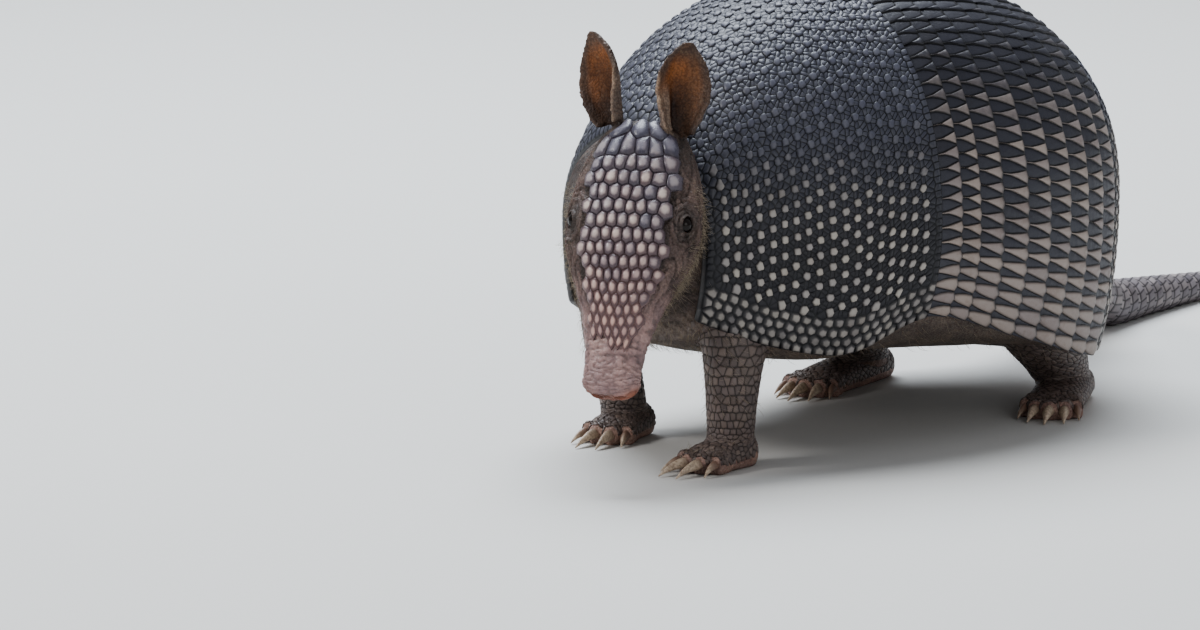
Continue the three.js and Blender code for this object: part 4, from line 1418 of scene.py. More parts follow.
def eye_frame(side):
    """The middle of the eye, and the directions out of it, ahead and up."""
    sign = EYE_SIDES[side]
    low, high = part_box(f"eye_{side}")
    out = HEAD_LEFT * sign * 0.80 + HEAD_TOP * 0.55 + HEAD_AXIS * 0.10
    out /= np.linalg.norm(out)
    ahead = HEAD_AXIS - out * (HEAD_AXIS @ out)
    ahead /= np.linalg.norm(ahead)
    middle = np.array((low + high) / 2) / MM - HEAD_AXIS * 0.8
    return middle, out, ahead, np.cross(out, ahead) * sign


def eye_places(points, side):
    """Ahead, up and out of the eye's middle, and the gap to it in the lids' oval measure."""
    centre, out, ahead, up = eye_frame(side)
    away = points - centre
    x, y = away @ ahead, away @ up
    return x, y, away @ out, np.hypot(x / 1.16, y / 0.92)


print("middle of the left eye:", eye_frame("left")[0].round(1))

# %% [markdown]
# ## Cut away what the shell hides
# The skin under the shell is never seen, so its faces would be wasted. It is cut away there and
# closed by a lid inside, and what is left stays one closed surface.

# %% Trim the skin under the shell
def faces_where(bm, mask):
    bm.verts.ensure_lookup_table()
    return [f for f in bm.faces if all(mask[v.index] for v in f.verts)]


def bm_points(bm):
    return np.array([v.co for v in bm.verts]) / MM


def split_wide_faces(bm):
    bmesh.ops.triangulate(bm, faces=[f for f in bm.faces if len(f.verts) > 4])


def trim_hidden(bm):
    points = bm_points(bm)
    place = spine_places(points)[0]
    hidden = (place > 8) & (place < 283) & (points[:, 2] > arch(place, 0, 1.0)[1] + 8)
    bmesh.ops.delete(bm, geom=faces_where(bm, hidden), context="FACES")
    bmesh.ops.holes_fill(bm, edges=[e for e in bm.edges if e.is_boundary])
    split_wide_faces(bm)


bm = bmesh.new()
bm.from_mesh(skin.data)
trim_hidden(bm)
print("faces after the trim:", len(bm.faces))
bm.to_mesh(skin.data)
bm.free()

# %% [markdown]
# ## Fewer faces where the skin is plain
# Belly, tail, feet and the skin under the face shield need no fine detail. The Decimate modifier
# thins them alone, because a vertex group tells it where to work.

# %% Coarser belly and tail
points = mesh_points(skin.data)
place = spine_places(points)[0]
along_head, aside, above = head_places(points)
under = (along_head > 4) & (along_head < 92) & (above > -8) & (place < 8)
under &= np.abs(aside) < along(FACE_STATIONS, 1, np.clip(along_head, 2, 99)) - 2.5
plain = (place > 14) | (points[:, 2] < 24) | under
group = skin.vertex_groups.new(name="plain")
group.add([int(i) for i in np.nonzero(plain)[0]], 1.0, "REPLACE")
print("plain share", plain.mean().round(2))
thin = skin.modifiers.new("thin", "DECIMATE")
thin.ratio, thin.vertex_group, thin.vertex_group_factor = 0.31, "plain", 10.0
apply_modifiers(skin)
print("faces after thinning:", len(skin.data.polygons))

# %% [markdown]
# ## More faces where the skin is fine
# Lids, folds of the cheek, nostrils, lips and ears are smaller than the squares of the remesh.
# Only their faces are cut into smaller ones, since a finer remesh all over would be far too heavy.

# %% Finer faces where the detail is
EYE_REACH = 11.5


def mouth_line(along_head):
    """The height of the closed lips over the head's axis."""
    return -15.5 + 1.7 * smoothstep(66, 113, along_head)


def refine(bm, mask, cuts):
    bm.verts.index_update()
    edges = list(dict.fromkeys(e for f in faces_where(bm, mask) for e in f.edges))
    bmesh.ops.subdivide_edges(bm, edges=edges, cuts=cuts, use_grid_fill=True)


def near_eyes(points):
    gaps = [np.linalg.norm(points - eye_frame(side)[0], axis=1) for side in EYE_SIDES]
    return np.min(gaps, axis=0) < EYE_REACH


def near_ears(points):
    near = np.zeros(len(points), bool)
    for side in EARS:
        up, _, gap = ear_places(points, side)
        near |= (up > 0.05) & (np.abs(gap) < 6)
    return near


def on_cheeks(points):
    along_head, aside, above = head_places(points)
    near = (along_head > 26) & (along_head < 72) & (above < -2) & (above > -27)
    return near & (np.abs(aside) > 13) & (np.abs(aside) < 32) & ~near_eyes(points)


def on_nose(points):
    along_head, aside, _ = head_places(points)
    return (along_head > 103) & (along_head < 122) & (np.abs(aside) < 20)


def at_lips(points):
    along_head, _, above = head_places(points)
    close = np.abs(above - mouth_line(along_head)) < 2.4
    return close & (along_head > 62) & (along_head < 118)


bm = bmesh.new()
bm.from_mesh(skin.data)
for region, cuts in ((near_eyes, 2), (on_cheeks, 1), (on_nose, 1), (at_lips, 1), (near_ears, 1)):
    refine(bm, region(bm_points(bm)), cuts)
split_wide_faces(bm)
bm.normal_update()
bm.to_mesh(skin.data)
bm.free()
print("faces after refining:", len(skin.data.polygons))

# %% [markdown]
# ## Eyelids
# An eyelid hugs the ball of the eye, so near the eye the skin is set to the height of a slightly
# larger ball. Fine rings lie round the opening, and two deeper folds lie under the eye.

# %% Lids
EYE_BALL, EYE_OPEN = 4.4, 2.95
LID_RINGS = ((3.1, 0.25, 0.35), (4.0, -0.35, 0.35), (4.9, 0.35, 0.45), (6.0, -0.50, 0.40),
             (7.1, 0.30, 0.5), (8.5, -0.40, 0.45))


def hump(value, middle, width):
    return np.exp(-(((value - middle) / width) ** 2))


def noise_at(points, stretch):
    """Noise from -1 to 1 with lumps of a size in millimetres, or of three sizes by axis."""
    rows = points / (np.array(stretch) * np.ones(3))
    return np.array([noise.noise(Vector(row)) for row in rows])


def shape_eye(points, side):
    x, y, h, r = eye_places(points, side)
    near = (r < 16) & (h > -6)
    lid = np.sqrt(np.maximum((EYE_BALL + 0.5) ** 2 - np.minimum(r, 4.3) ** 2, 1))
    level = lid + (h - lid) * smoothstep(4.2, 8.5, r)
    sway = np.zeros(len(points))
    sway[near] = noise_at(points[near], 3.0)
    for middle, high, wide in LID_RINGS:
        level += high * hump(r + sway * 0.9, middle, wide)
    lower = smoothstep(-2, 3, -y - 0.5 * x)
    for middle in (10.6, 12.8):
        level -= 0.45 * hump(r + sway * 0.9, middle, 0.6) * lower
    level = np.where(r < EYE_OPEN - 0.1, 1.5, level)
    edge = near & (np.abs(r - EYE_OPEN) < 0.22)
    slide = np.where(edge, EYE_OPEN / np.maximum(r, 0.1), 1)
    centre, out, ahead, up = eye_frame(side)
    made = centre + np.outer(x * slide, ahead) + np.outer(y * slide, up) + np.outer(level, out)
    return np.where(near[:, None], made, points)


print("rings round each eye:", len(LID_RINGS))

# %% [markdown]
# ## Muzzle
# The muzzle ends in a blunt disc with two nostrils. The mouth is a fine groove along each side.
# Both are pushed into the skin by smooth bumps, which is gentler than cutting holes.

# %% Mouth and nostrils
NOSTRIL_ASIDE, NOSTRIL_LOW = 4.4, 8.8


def on_head(points):
    """1 on the head and 0 off it, by the head's own tables."""
    d, aside, u = head_places(points)
    place = np.clip(d, 0, HEAD_LENGTH)
    middle, half = along(HEAD_STATIONS, 3, place), along(HEAD_STATIONS, 1, place)
    above, below = along(HEAD_STATIONS, 2, place) - middle, middle - along(HEAD_STATIONS, 4, place)
    high = np.where(u > middle, above, below)
    out = np.hypot(aside / half, (u - middle) / high)
    return (1 - smoothstep(1.12, 1.3, out)) * (d > -3) * (d < 124)


def nostril_gap(aside, u, sign):
    return np.hypot(aside - sign * NOSTRIL_ASIDE, (u + NOSTRIL_LOW) * 1.15)


def shape_muzzle(points, normals):
    d, left, u = head_places(points)
    head = on_head(points)
    groove = hump(u, mouth_line(d), 0.6) * smoothstep(64, 70, d) * (1 - smoothstep(112, 116, d))
    groove *= head
    move = -0.9 * (groove * (d > 60) * (d < 120))[:, None] * normals
    end = smoothstep(106, 118, d) * head
    move += np.outer(0.06 * left * end, HEAD_LEFT)
    move -= np.outer(3.6 * end * np.minimum(np.abs(left) / 12, 1.1) ** 2.6, HEAD_AXIS)
    tip = smoothstep(106, 111, d) * head
    for sign in (1, -1):
        r = nostril_gap(left, u, sign)
        move -= np.outer(3.0 * np.maximum(1 - (r / 2.1) ** 2, 0) ** 0.6 * tip, HEAD_AXIS)
        move += np.outer(0.45 * hump(r, 2.7, 0.55) * tip, HEAD_AXIS)
    return points + move


print("the mouth's line drops to", mouth_line(66.0).round(1), "mm")

# %% [markdown]
# ## Creases
# Loose skin folds across the way it bends: in long lines down the cheek, in short ones round the
# snout and in rings round the neck. Noise is near 0 along wandering lines, which look like folds.
# Stretching the noise sets how long they are and which way they run.

# %% Creases
def wrinkles(points, stretch, sharp):
    """1 along wandering lines and 0 between them."""
    return 1 - np.minimum(np.abs(noise_at(points, stretch)) * sharp, 1)


def creases(points):
    """How deep each point lies in a crease, from 0 to 1, where the skin folds."""
    place, low = spine_places(points)[0], points[:, 2]
    d, head = head_places(points)[0], on_head(points)
    turned = points @ np.stack([HEAD_AXIS, HEAD_LEFT, HEAD_TOP], axis=1)
    swayed = turned + 4.0 * noise_at(points, 9.0)[:, None]
    fold, fine = wrinkles(swayed, (6.0, 9.0, 2.6), 4.5), wrinkles(swayed, (2.2, 3.2, 1.3), 3.5)
    snout, coarse = wrinkles(turned, (1.5, 4.5, 4.5), 3.5), wrinkles(turned, (3.0, 8.0, 8.0), 4.0)
    long = wrinkles(swayed, (15.0, 9.0, 2.4), 4.5)
    neck = smoothstep(-34, -16, place) * (1 - smoothstep(-2, 8, place)) * (1 - head)
    leg = (place > 8) * (place < 282) * (low > 14) * (low < 70) * (1 - head)
    muzzle = head * smoothstep(74, 96, d)
    cheek = head * (1 - muzzle)
    for side in EARS:
        neck *= ear_places(points, side)[0] < 0.03
    return (0.9 * neck * fold + 0.35 * leg * fold + cheek * (0.85 * long + 0.30 * fine)
            + muzzle * (0.62 * snout + 0.15 * fine + 0.6 * coarse * (1 - smoothstep(100, 110, d))))


def fold_skin(points, normals, depth):
    """Presses creases in, and swells the skin a little beside them."""
    return points + normals * (0.10 * (depth > 0) - 0.8 * depth)[:, None]


depth = creases(mesh_points(skin.data))
print("share of the skin in a deep crease:", (depth > 0.5).mean().round(3))

# %% [markdown]
# ## Inside the ears
# An armadillo's ear is leathery, with fine pebbles outside. Inside it has upright ribs, and a
# thick fold beside the ear hole.

# %% Ribs, folds and pebbles of the ears
def ear_inward(turn, curl, side):
    """How far round the ear a place is, from -1 at its outer edge to 1 at its inner edge."""
    return -EYE_SIDES[side] * turn / curl


def shape_ear(points, normals, side):
    """Ribs inside the ear, pebbles outside it and a crinkled rim."""
    up, turn, gap = ear_places(points, side)
    on = (up > 0.03) & (np.abs(gap) < 3.5)
    curl = ear_curl(np.clip(up, 0, 1))[0]
    between = smoothstep(0.1, 0.3, up) * (1 - smoothstep(0.7, 0.95, up))
    ribs = 0.35 * np.sin(turn * 9 + 3 * up) * between
    rim = np.maximum(smoothstep(0.7, 0.9, np.abs(turn) / curl), smoothstep(0.85, 0.95, up))
    rough = np.where(gap > 0.4, 1.0, rim)[on] * 0.32 * noise_at(points[on], 1.1)
    inward = ear_inward(turn, curl, side)
    fold = 1.5 * hump(inward, 0.50, 0.15) * (1 - smoothstep(0.30, 0.60, up))
    canal = 0.7 * hump(inward, 0.20, 0.12) * hump(up, 0.26, 0.14)
    ribs = ribs + (fold - canal) / 0.6
    move = np.zeros(len(points))
    move[on] = (0.6 * np.where(gap < 0, ribs, 0) * (1 - rim))[on] + rough
    return points + normals * move[:, None]


print("ears to shape:", len(EARS))

# %% Shape the skin
points, normals = mesh_points(skin.data), mesh_vectors(skin.data, "normal")
points = fold_skin(points, normals, depth)
points = shape_muzzle(points, normals)
for side in EARS:
    points = shape_ear(points, normals, side)
for side in EYE_SIDES:
    points = shape_eye(points, side)
points[:, 2] = np.maximum(points[:, 2], 0)
skin.data.vertices.foreach_set("co", (points * MM).ravel())
skin.data.update()
print("moved", len(points), "points")

# %% [markdown]
# ## Tones of the skin
# Bare skin is no single colour: pink on the snout, grey-brown on the cheeks, orange inside the
# ears. Shade is painted in as well: near black in the mouth line, nostrils and ear canals, dark
# deep in each ear, darker in every crease, and dark in the gap at the neck under the shell's front
# edge. One could paint it by hand. Here each point is given its tone from its place, region over
# region like coats of thin paint, and the mesh keeps it as a colour.

# %% Tones of body and head
TONES = {
    # base: the skin's own dark colour, darkened further as painted shade for the gap at the neck.
    "base": (0.080, 0.062, 0.055), "cheek": (0.155, 0.114, 0.102), "snout": (0.375, 0.262, 0.258),
    # The hollow tone is painted shade, near black, for mouth line, nostrils, lid rims and ear
    # canal.
    "nose": (0.27, 0.110, 0.075), "hollow_shade": (0.030, 0.015, 0.012), "belly": (0.30, 0.225, 0.18),
    "leg": (0.150, 0.125, 0.108), "foot": (0.24, 0.18, 0.155), "toe": (0.36, 0.245, 0.21),
    "tail": (0.10, 0.085, 0.085), "lid": (0.120, 0.098, 0.090), "under_face": (0.095, 0.074, 0.068),
    "ear_inside": (0.27, 0.108, 0.038), "ear_outside": (0.20, 0.155, 0.125),
    # The ear_deep_shade tone is painted shade deep in the ear's cup and at its root.
    "ear_edge": (0.085, 0.060, 0.048), "ear_deep_shade": (0.035, 0.018, 0.012),
    "ear_fold": (0.42, 0.32, 0.24), "ear_brown": (0.125, 0.070, 0.042),
}


def paint(tone, weight, name):
    """Blends a named tone over the others, by weight."""
    tone += (np.array(TONES[name]) - tone) * np.clip(weight, 0, 1)[:, None]


def paint_body(tone, points, normals):
    place, z, head = spine_places(points)[0], points[:, 2], on_head(points)
    body = (1 - head) * smoothstep(-4, 10, place)
    low = (1 - head) * (place < 286)
    paint(tone, body * smoothstep(0.3, -0.3, normals[:, 2]) * smoothstep(26, 40, z), "belly")
    paint(tone, low * (1 - smoothstep(50, 66, z)), "leg")
    paint(tone, (place > 286) * 1.0, "tail")
    paint(tone, low * (1 - smoothstep(12, 22, z)), "foot")
    paint(tone, low * (1 - smoothstep(6, 12, z)) * 0.8, "toe")


def paint_head(tone, points):
    d, aside, u = head_places(points)
    head = on_head(points)
    paint(tone, head * smoothstep(10, 30, d), "cheek")
    paint(tone, head * smoothstep(60, 98, d), "snout")
    paint(tone, head * smoothstep(110.5, 115, d) * (1 - smoothstep(-9, -4, u)), "nose")
    # Painted shade along the mouth line.
    paint(tone, head * (d > 66) * hump(u, mouth_line(d), 0.7) * 0.8, "hollow_shade")
    rim = np.interp(d, FACE_STATIONS[:, 0], FACE_STATIONS[:, 1])
    under = head * (1 - smoothstep(66, 88, d)) * (u > -6) * (np.abs(aside) < rim - 0.5)
    paint(tone, under, "under_face")
    for sign in (1, -1):
        inside = 1 - smoothstep(1.2, 2.3, nostril_gap(aside, u, sign))
        # Painted shade inside each nostril.
        paint(tone, head * (d > 108) * inside, "hollow_shade")


print("tones:", len(TONES))

# %% Tones of eyes and ears
EAR_SHADE = {"left": 0.7, "right": 0.1}     # how brown the outer half of each ear is inside


def paint_eye(tone, points, side):
    _, _, out, r = eye_places(points, side)
    close = np.abs(out) < 9
    paint(tone, close * (1 - smoothstep(4.5, 8.5, r)), "lid")
    paint(tone, close * 0.7 * hump(r, 8.2, 0.5), "ear_edge")
    # Painted shade at the rim of the lids, round the eye's opening.
    paint(tone, close * (1 - smoothstep(2.6, 3.3, r)), "hollow_shade")


def paint_ear(tone, points, side):
    up, turn, gap = ear_places(points, side)
    curl = ear_curl(np.clip(up, 0, 1))[0]
    across, inward = np.abs(turn) / curl, ear_inward(turn, curl, side)
    on = (up > -0.02) * (np.abs(gap) < 3.5)
    inner = on * (1 - smoothstep(-0.45, 0.35, gap))
    middle = 1 - smoothstep(0.1, 0.75, across)
    fold = smoothstep(0.34, 0.50, inward) * (1 - smoothstep(0.36, 0.60, up))
    paint(tone, on * smoothstep(-0.02, 0.05, up), "ear_outside")
    paint(tone, inner * smoothstep(0.04, 0.10, up), "ear_inside")
    # Painted shade at the root of the ear and in the middle of its cup.
    paint(tone, inner * (1 - smoothstep(0.12, 0.42, up)) * 0.92, "ear_deep_shade")
    paint(tone, inner * middle * (1 - smoothstep(0.35, 0.85, up)) * 0.75, "ear_deep_shade")
    paint(tone, inner * smoothstep(0.05, -0.40, inward) * EAR_SHADE[side], "ear_brown")
    paint(tone, inner * fold * 0.85, "ear_outside")
    # Painted shade in the ear canal.
    paint(tone, inner * hump(inward, 0.20, 0.13) * hump(up, 0.27, 0.13), "hollow_shade")
    paint(tone, on * smoothstep(0.50, 0.84, across) * 0.85 * (1 - fold), "ear_edge")
    paint(tone, on * smoothstep(0.70, 0.92, up) * 0.85, "ear_edge")
    edge = on * hump(inward, 1.0, 0.08) * (1 - smoothstep(0.45, 0.7, up))
    paint(tone, edge * 0.8, "ear_fold")


print("shade inside the ears:", EAR_SHADE)

# %% Paint the skin
points = mesh_points(skin.data)
# The base tone is partly painted shade: it paints the neck's gap under the shell dark.
tone = np.tile(np.array(TONES["base"]), (len(points), 1))
paint_body(tone, points, mesh_vectors(skin.data, "normal"))
paint_head(tone, points)
for side in EYE_SIDES:
    paint_eye(tone, points, side)
for side in EARS:
    paint_ear(tone, points, side)
# Painted shade: each point is darkened by how deep it lies in a crease.
tone *= (1 - 0.55 * np.clip(depth, 0, 1))[:, None]
colours = skin.data.color_attributes.new("tone", "FLOAT_COLOR", "POINT")
colours.data.foreach_set("color", np.hstack([tone, np.ones((len(tone), 1))]).ravel())
sleek = skin.data.attributes.new("sleek", "FLOAT", "POINT")
sleek.data.foreach_set("value", on_head(points) * smoothstep(66, 94, head_places(points)[0]))
print("tones painted on", len(tone), "points")

# %% [markdown]
# ## Skin material
# Skin lets a little light in, so the shader has some subsurface. Pebbles, pores and crust come
# from noise at three sizes, and fade towards the snout, where `sleek` says that the skin is sleek.

# %% Skin material
def skin_finish():
    made = Finish("skin", IOR=1.42, Subsurface_Weight=0.08, Subsurface_Scale=0.0012,
                  Subsurface_Radius=(1.0, 0.4, 0.25))
    tone = made.attribute("tone", "Color")
    coarse = 1 - made.attribute("sleek") * 0.75
    broad, fine = made.noise(95, 4), made.noise(1100, 3)
    pebbles = made.cells(1050)
    edges = made.cells(360, "DISTANCE_TO_EDGE")
    colour = broad.ramp(0.30, 0.70).blend(tone.tint((0.72, 0.70, 0.72)),
                                          tone.tint((1.22, 1.18, 1.12)))
    grain = (pebbles + (fine - 0.5) * 0.4).ramp(0.25, 0.8) * coarse
    colour = grain.blend(colour.tint((1.08, 1.07, 1.06)), colour.tint((0.70, 0.66, 0.66)))
    crust = (made.noise(170, 5) + (fine - 0.5) * 0.3).ramp(0.62, 0.76) * 0.28 * coarse
    colour = crust.blend(colour, (0.34, 0.27, 0.18))
    height = ((1 - pebbles) * 0.6 + fine * 0.35) * coarse + edges.ramp(0.0, 0.12) * 0.3
    return made.set(Base_Color=colour, Roughness=(fine * coarse).ramp(0.0, 0.75, 0.36, 0.66),
                    Normal=made.bump(height, 0.0005, 0.7))


skin.data.materials.clear()
skin.data.materials.append(skin_finish())
skin.data.shade_smooth()
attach(skin, "root")
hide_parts("head", "neck", "trunk", "ear_left", "ear_right",
            *(f"tail_{i}" for i in range(1, 5)),
            *(f"{part}_{foot}" for part in ("leg", "foot") for foot in FEET))
print("skin triangles", triangles(skin))

# %% [markdown]
# ## Eyes
# An armadillo's eyes are small, dark and wet. A sphere would do, but the cornea bulges a little,
# and the bulge catches the light. The ball is turned so that its pole looks out of the lids.

# %% Eyes
def eye_finish():
    made = Finish("eyes", IOR=1.36, Coat_Roughness=0.03, Specular_IOR_Level=0.3)
    cloud = made.noise(700, 2)
    return made.set(Base_Color=cloud.blend((0.005, 0.003, 0.003), (0.014, 0.008, 0.006)),
                    Roughness=cloud.ramp(0, 1, 0.06, 0.16),
                    Coat_Weight=cloud.ramp(0, 1, 0.25, 0.35))


def eye(side, material):
    centre, out, ahead, up = eye_frame(side)
    bm = bmesh.new()
    bmesh.ops.create_uvsphere(bm, u_segments=48, v_segments=32, radius=EYE_BALL * MM)
    mesh = bpy.data.meshes.new(f"eye_{side}_ball")
    turn = Matrix((Vector(ahead), Vector(up), Vector(out))).transposed()
    for vert in bm.verts:
        bulge = 1 + 0.06 * max(vert.co.z / (EYE_BALL * MM) - 0.86, 0) / 0.14
        vert.co = turn @ (vert.co * bulge) + Vector(centre) * MM
    bmesh.ops.recalc_face_normals(bm, faces=bm.faces[:])
    bm.to_mesh(mesh)
    bm.free()
    mesh.materials.append(material)
    mesh.shade_smooth()
    made = add_object(mesh.name, mesh)
    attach(made, "root")
    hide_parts(f"eye_{side}")
    return made


EYE = eye_finish()
eyes = [eye(side, EYE) for side in EYE_SIDES]
print("eyes", [e.name for e in eyes])

# %% [markdown]
# ## Claws
# Claws are long, for digging: four on a forefoot and five on a hindfoot. Each is a loft that
# tapers and curves down to the floor. Its root lies inside the toe, so no gap can show.

# %% Shape of a claw
CLAW_ROOT, CLAW_LEVEL, CLAW_DROP = 0.62, 3.9, 3.2


def claw_ring(name, toe):
    heel, fore, left = foot_frame(name)
    x, y = toe_end(FEET[name][2], toe)
    ahead, aside = math.cos(toe[4] * DEG), math.sin(toe[4] * DEG)
    across = left * ahead - fore * aside

    def ring(share, angle):
        t = share * 1.25 - 0.25
        size = toe[2] * CLAW_ROOT * (1 - 0.88 * np.clip(t, 0, 1) ** 1.3)
        up = np.cos(angle) * np.where(np.cos(angle) > 0, 1.15, 0.75) * size
        wide = np.sin(angle) * (1 - 0.25 * np.maximum(np.cos(angle), 0)) * size
        made = heel + np.outer(x + (0.4 + t * toe[3]) * ahead, fore)
        made = made + np.outer(y + (0.4 + t * toe[3]) * aside, left) + np.outer(wide, across)
        made[:, 2] = np.maximum(CLAW_LEVEL - CLAW_DROP * np.maximum(t, 0) ** 2 + up, 0)
        return made

    return ring


print("claws to make:", sum(len(foot[-1]) for foot in FEET.values()))

# %% Claws
def claw_finish():
    made = Finish("claws", IOR=1.5)
    root = made.attribute("root")
    streak, mottle = made.noise(900, 4), made.noise(260, 3)
    colour = streak.ramp(0.3, 0.7).blend((0.34, 0.255, 0.19), (0.60, 0.50, 0.39))
    colour = root.ramp(0.35, 1.0).blend(colour, (0.21, 0.13, 0.10))
    colour = (mottle.ramp(0.5, 0.75) * 0.5).blend(colour, (0.16, 0.11, 0.08))
    return made.set(Base_Color=colour, Roughness=streak.ramp(0.2, 0.8, 0.28, 0.50),
                    Normal=made.bump(streak, 0.0003, 0.5))


def claws(name, material):
    toes = FEET[name][-1]
    made = join_meshes(f"claws_{name}", [loft(20, 16, claw_ring(name, toe)) for toe in toes])
    made.data.materials.append(material)
    heel, fore, _ = foot_frame(name)
    ahead = (mesh_points(made.data) - heel) @ fore
    reach = FEET[name][2] + 18
    root = made.data.attributes.new("root", "FLOAT", "POINT")
    root.data.foreach_set("value", (1 - smoothstep(reach - 14, reach, ahead)).astype(float))
    made.data.shade_smooth()
    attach(made, "root")
    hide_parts(*(f"claw_{name}_{i + 1}" for i in range(len(toes))))
    return made


CLAW = claw_finish()
claw_sets = [claws(name, CLAW) for name in FEET]
print("claw sets", len(claw_sets))

# %% [markdown]
# ## Scales of the legs and feet
# Small hard scales clad the legs, feet and toes. A texture would look flat from the side, so they
# are real cells again. A patch is bent round a leg or toe, and then each of its points is moved to
# the nearest point of the skin.

# %% Lay a patch of scales on the skin
SCALE_DOME = ((0.88, 0.55, 0.5), (0.74, 0.95, 0.9), (0.45, 1.0, 1.0))
TILES, TILE_EDGE = 8, 0.04      # tiles in a row of the unwrap, and the free edge of each


def skin_tree():
    bm = bmesh.new()
    bm.from_mesh(skin.data)
    tree = BVHTree.FromBMesh(bm)
    bm.free()
    return tree


def lay_on_skin(points, lift):
    """The skin's nearest points to points in millimetres, lifted along its normals."""
    laid = []
    for point, high in zip(points, lift):
        place, normal, _, _ = SKIN_TREE.find_nearest(Vector(point) * MM)
        laid.append(place / MM + normal * high)
    return np.array(laid)


def unwrap_tile(bm, tile):
    """Puts the patch's flat places into one tile of the unwrap."""
    uv = bm.loops.layers.uv.new("OFBake")
    for corner in (c for face in bm.faces for c in face.loops):
        flat = corner.vert.co.xy * (1 - 2 * TILE_EDGE) + Vector((TILE_EDGE, TILE_EDGE))
        corner[uv].uv = (flat + Vector((tile % TILES, tile // TILES))) / TILES


SKIN_TREE = skin_tree()
print("nearest skin to the left eye:", lay_on_skin([eye_frame("left")[0]], [0]).round(1)[0])

# %% Scales of the legs and feet
def scale_patch(ring, share, turn, count, chance, tile, deep):
    """A mesh of scales between two shares of a body's length and two turns round it."""
    rows, across = count
    points = [((i + 0.5 + chance.gauss(0, 0.17)) / rows,
               (j + 0.25 + 0.5 * (i % 2) + chance.gauss(0, 0.14)) / across)
              for i in range(rows) for j in range(across)]
    bm = cell_mesh(points, (0, 0), (1, 1), (2.4 / rows, 2.4 / across))
    pale, tint = scute_layers(bm, "pale", "tint")
    cells = list(bm.faces)
    for face in cells:
        face[pale], face[tint] = chance.gauss(0.45, 0.16), chance.random()
    raise_domes(bm, cells, [(size, lift * deep, rise) for size, lift, rise in SCALE_DOME])
    outward(bm)
    unwrap_tile(bm, tile)
    flat = flat_corners(bm)
    where = ring(share[0] + (share[1] - share[0]) * flat[:, 0],
                 turn[0] + (turn[1] - turn[0]) * flat[:, 1])
    edge = np.minimum(flat[:, :2], 1 - flat[:, :2]).min(axis=1)
    laid = lay_on_skin(where, flat[:, 2] + 0.02 - 0.4 * (edge < 0.01))
    laid[:, 2] = np.maximum(laid[:, 2], 0)
    for vert, point in zip(bm.verts, laid * MM):
        vert.co = point
    return bm


def leg_scales(name):
    chance = random.Random(len(name) * 7 + 3)
    front = name.startswith("front")
    pad, *toes = foot_pads(name)
    bodies = [scale_patch(leg_ring(*LEGS[name]), (0.22, 0.90), (math.pi, -math.pi),
                          (16, 26) if front else (16, 40), chance, 0, 0.45),
              scale_patch(pad, (0.10, 0.92), (1.75, -1.75),
                          (9, 12) if front else (20, 12), chance, 1, 0.40)]
    for tile, toe in enumerate(toes, 2):
        bodies.append(scale_patch(toe, (0.22, 0.90), (1.5, -1.5), (7, 4), chance, tile, 0.40))
    made = join_meshes(f"scales_{name}", bodies)
    made.data.materials.append(LEG)
    made.data.shade_smooth()
    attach(made, "root")
    return made


LEG = scute_finish("leg_scales", groove=(0.030, 0.023, 0.021), dark=(0.060, 0.048, 0.044),
                   dark_crown_sheen=(0.125, 0.100, 0.092), light=(0.095, 0.073, 0.066),
                   light_crown_wear_and_highlight=(0.21, 0.168, 0.152), rough=0.40, warm=(0.60, 0.38, 0.28))
leg_sets = [leg_scales(name) for name in FEET]
print("leg scale triangles", [triangles(patch) for patch in leg_sets])

# %% [markdown]
# ## Bristles
# Sparse pale bristles stand on the cheeks, throat, belly and legs. Blender's hair would grow them,
# but strands aren't solid mesh, and this part has to be. So roots are picked by chance from the
# points of the skin, and each region has its own weight.

# %% Where the bristles stand
def bristle_roots(count, chance):
    """Roots, normals and lengths of bristles, picked from the skin's points."""
    points, normals = mesh_points(skin.data), mesh_vectors(skin.data, "normal")
    place, z = spine_places(points)[0], points[:, 2]
    d, _, u = head_places(points)
    head = on_head(points)
    down = 1 - smoothstep(-0.2, 0.5, normals[:, 2])
    cheek = head * smoothstep(18, 34, d) * (1 - smoothstep(78, 92, d)) * (1 - smoothstep(-9, -4, u))
    throat = (1 - head) * (place < 12) * (z < 115) * 0.7
    belly = (1 - head) * (place > 12) * (place < 286) * down * (z > 24)
    legs = (place < 286) * (z < 48) * (z > 9) * (1 - head)
    weight = cheek * 0.9 + throat + belly * 2.2 + legs * 0.35
    for side in EARS:
        weight *= ear_places(points, side)[0] < 0.0
    for side in EYE_SIDES:
        weight *= smoothstep(8, 12, np.linalg.norm(points - eye_frame(side)[0], axis=1))
    picked = chance.choice(len(points), count, replace=False, p=weight / weight.sum())
    length = (3.2 + 2.2 * cheek + 3.4 * belly + 2.0 * throat)[picked]
    return points[picked], normals[picked], length * chance.uniform(0.6, 1.4, count)


def skin_unwrap(points):
    """Places of points on a flat unwrap of the skin: round the head, and round the body."""
    d, aside, u = head_places(points)
    place, left = spine_places(points)
    head = on_head(points) > 0.5
    along_skin = np.where(head, 0.02 + 0.24 * d / 125, 0.30 + 0.66 * (place + 40) / 700)
    around = np.where(head, np.arctan2(aside, u + 14), np.arctan2(left, points[:, 2] - 80))
    return np.stack([along_skin, 0.5 + 0.48 * around / math.pi], axis=1)


BRISTLES = 4200
print("bristles to stand:", BRISTLES)

# %% [markdown]
# ## One bristle, many times
# A bristle is a thin cone of three sides and three lengths. It is copied to every root, and each
# copy is bent so that it leaves the skin and then lies back along the body.

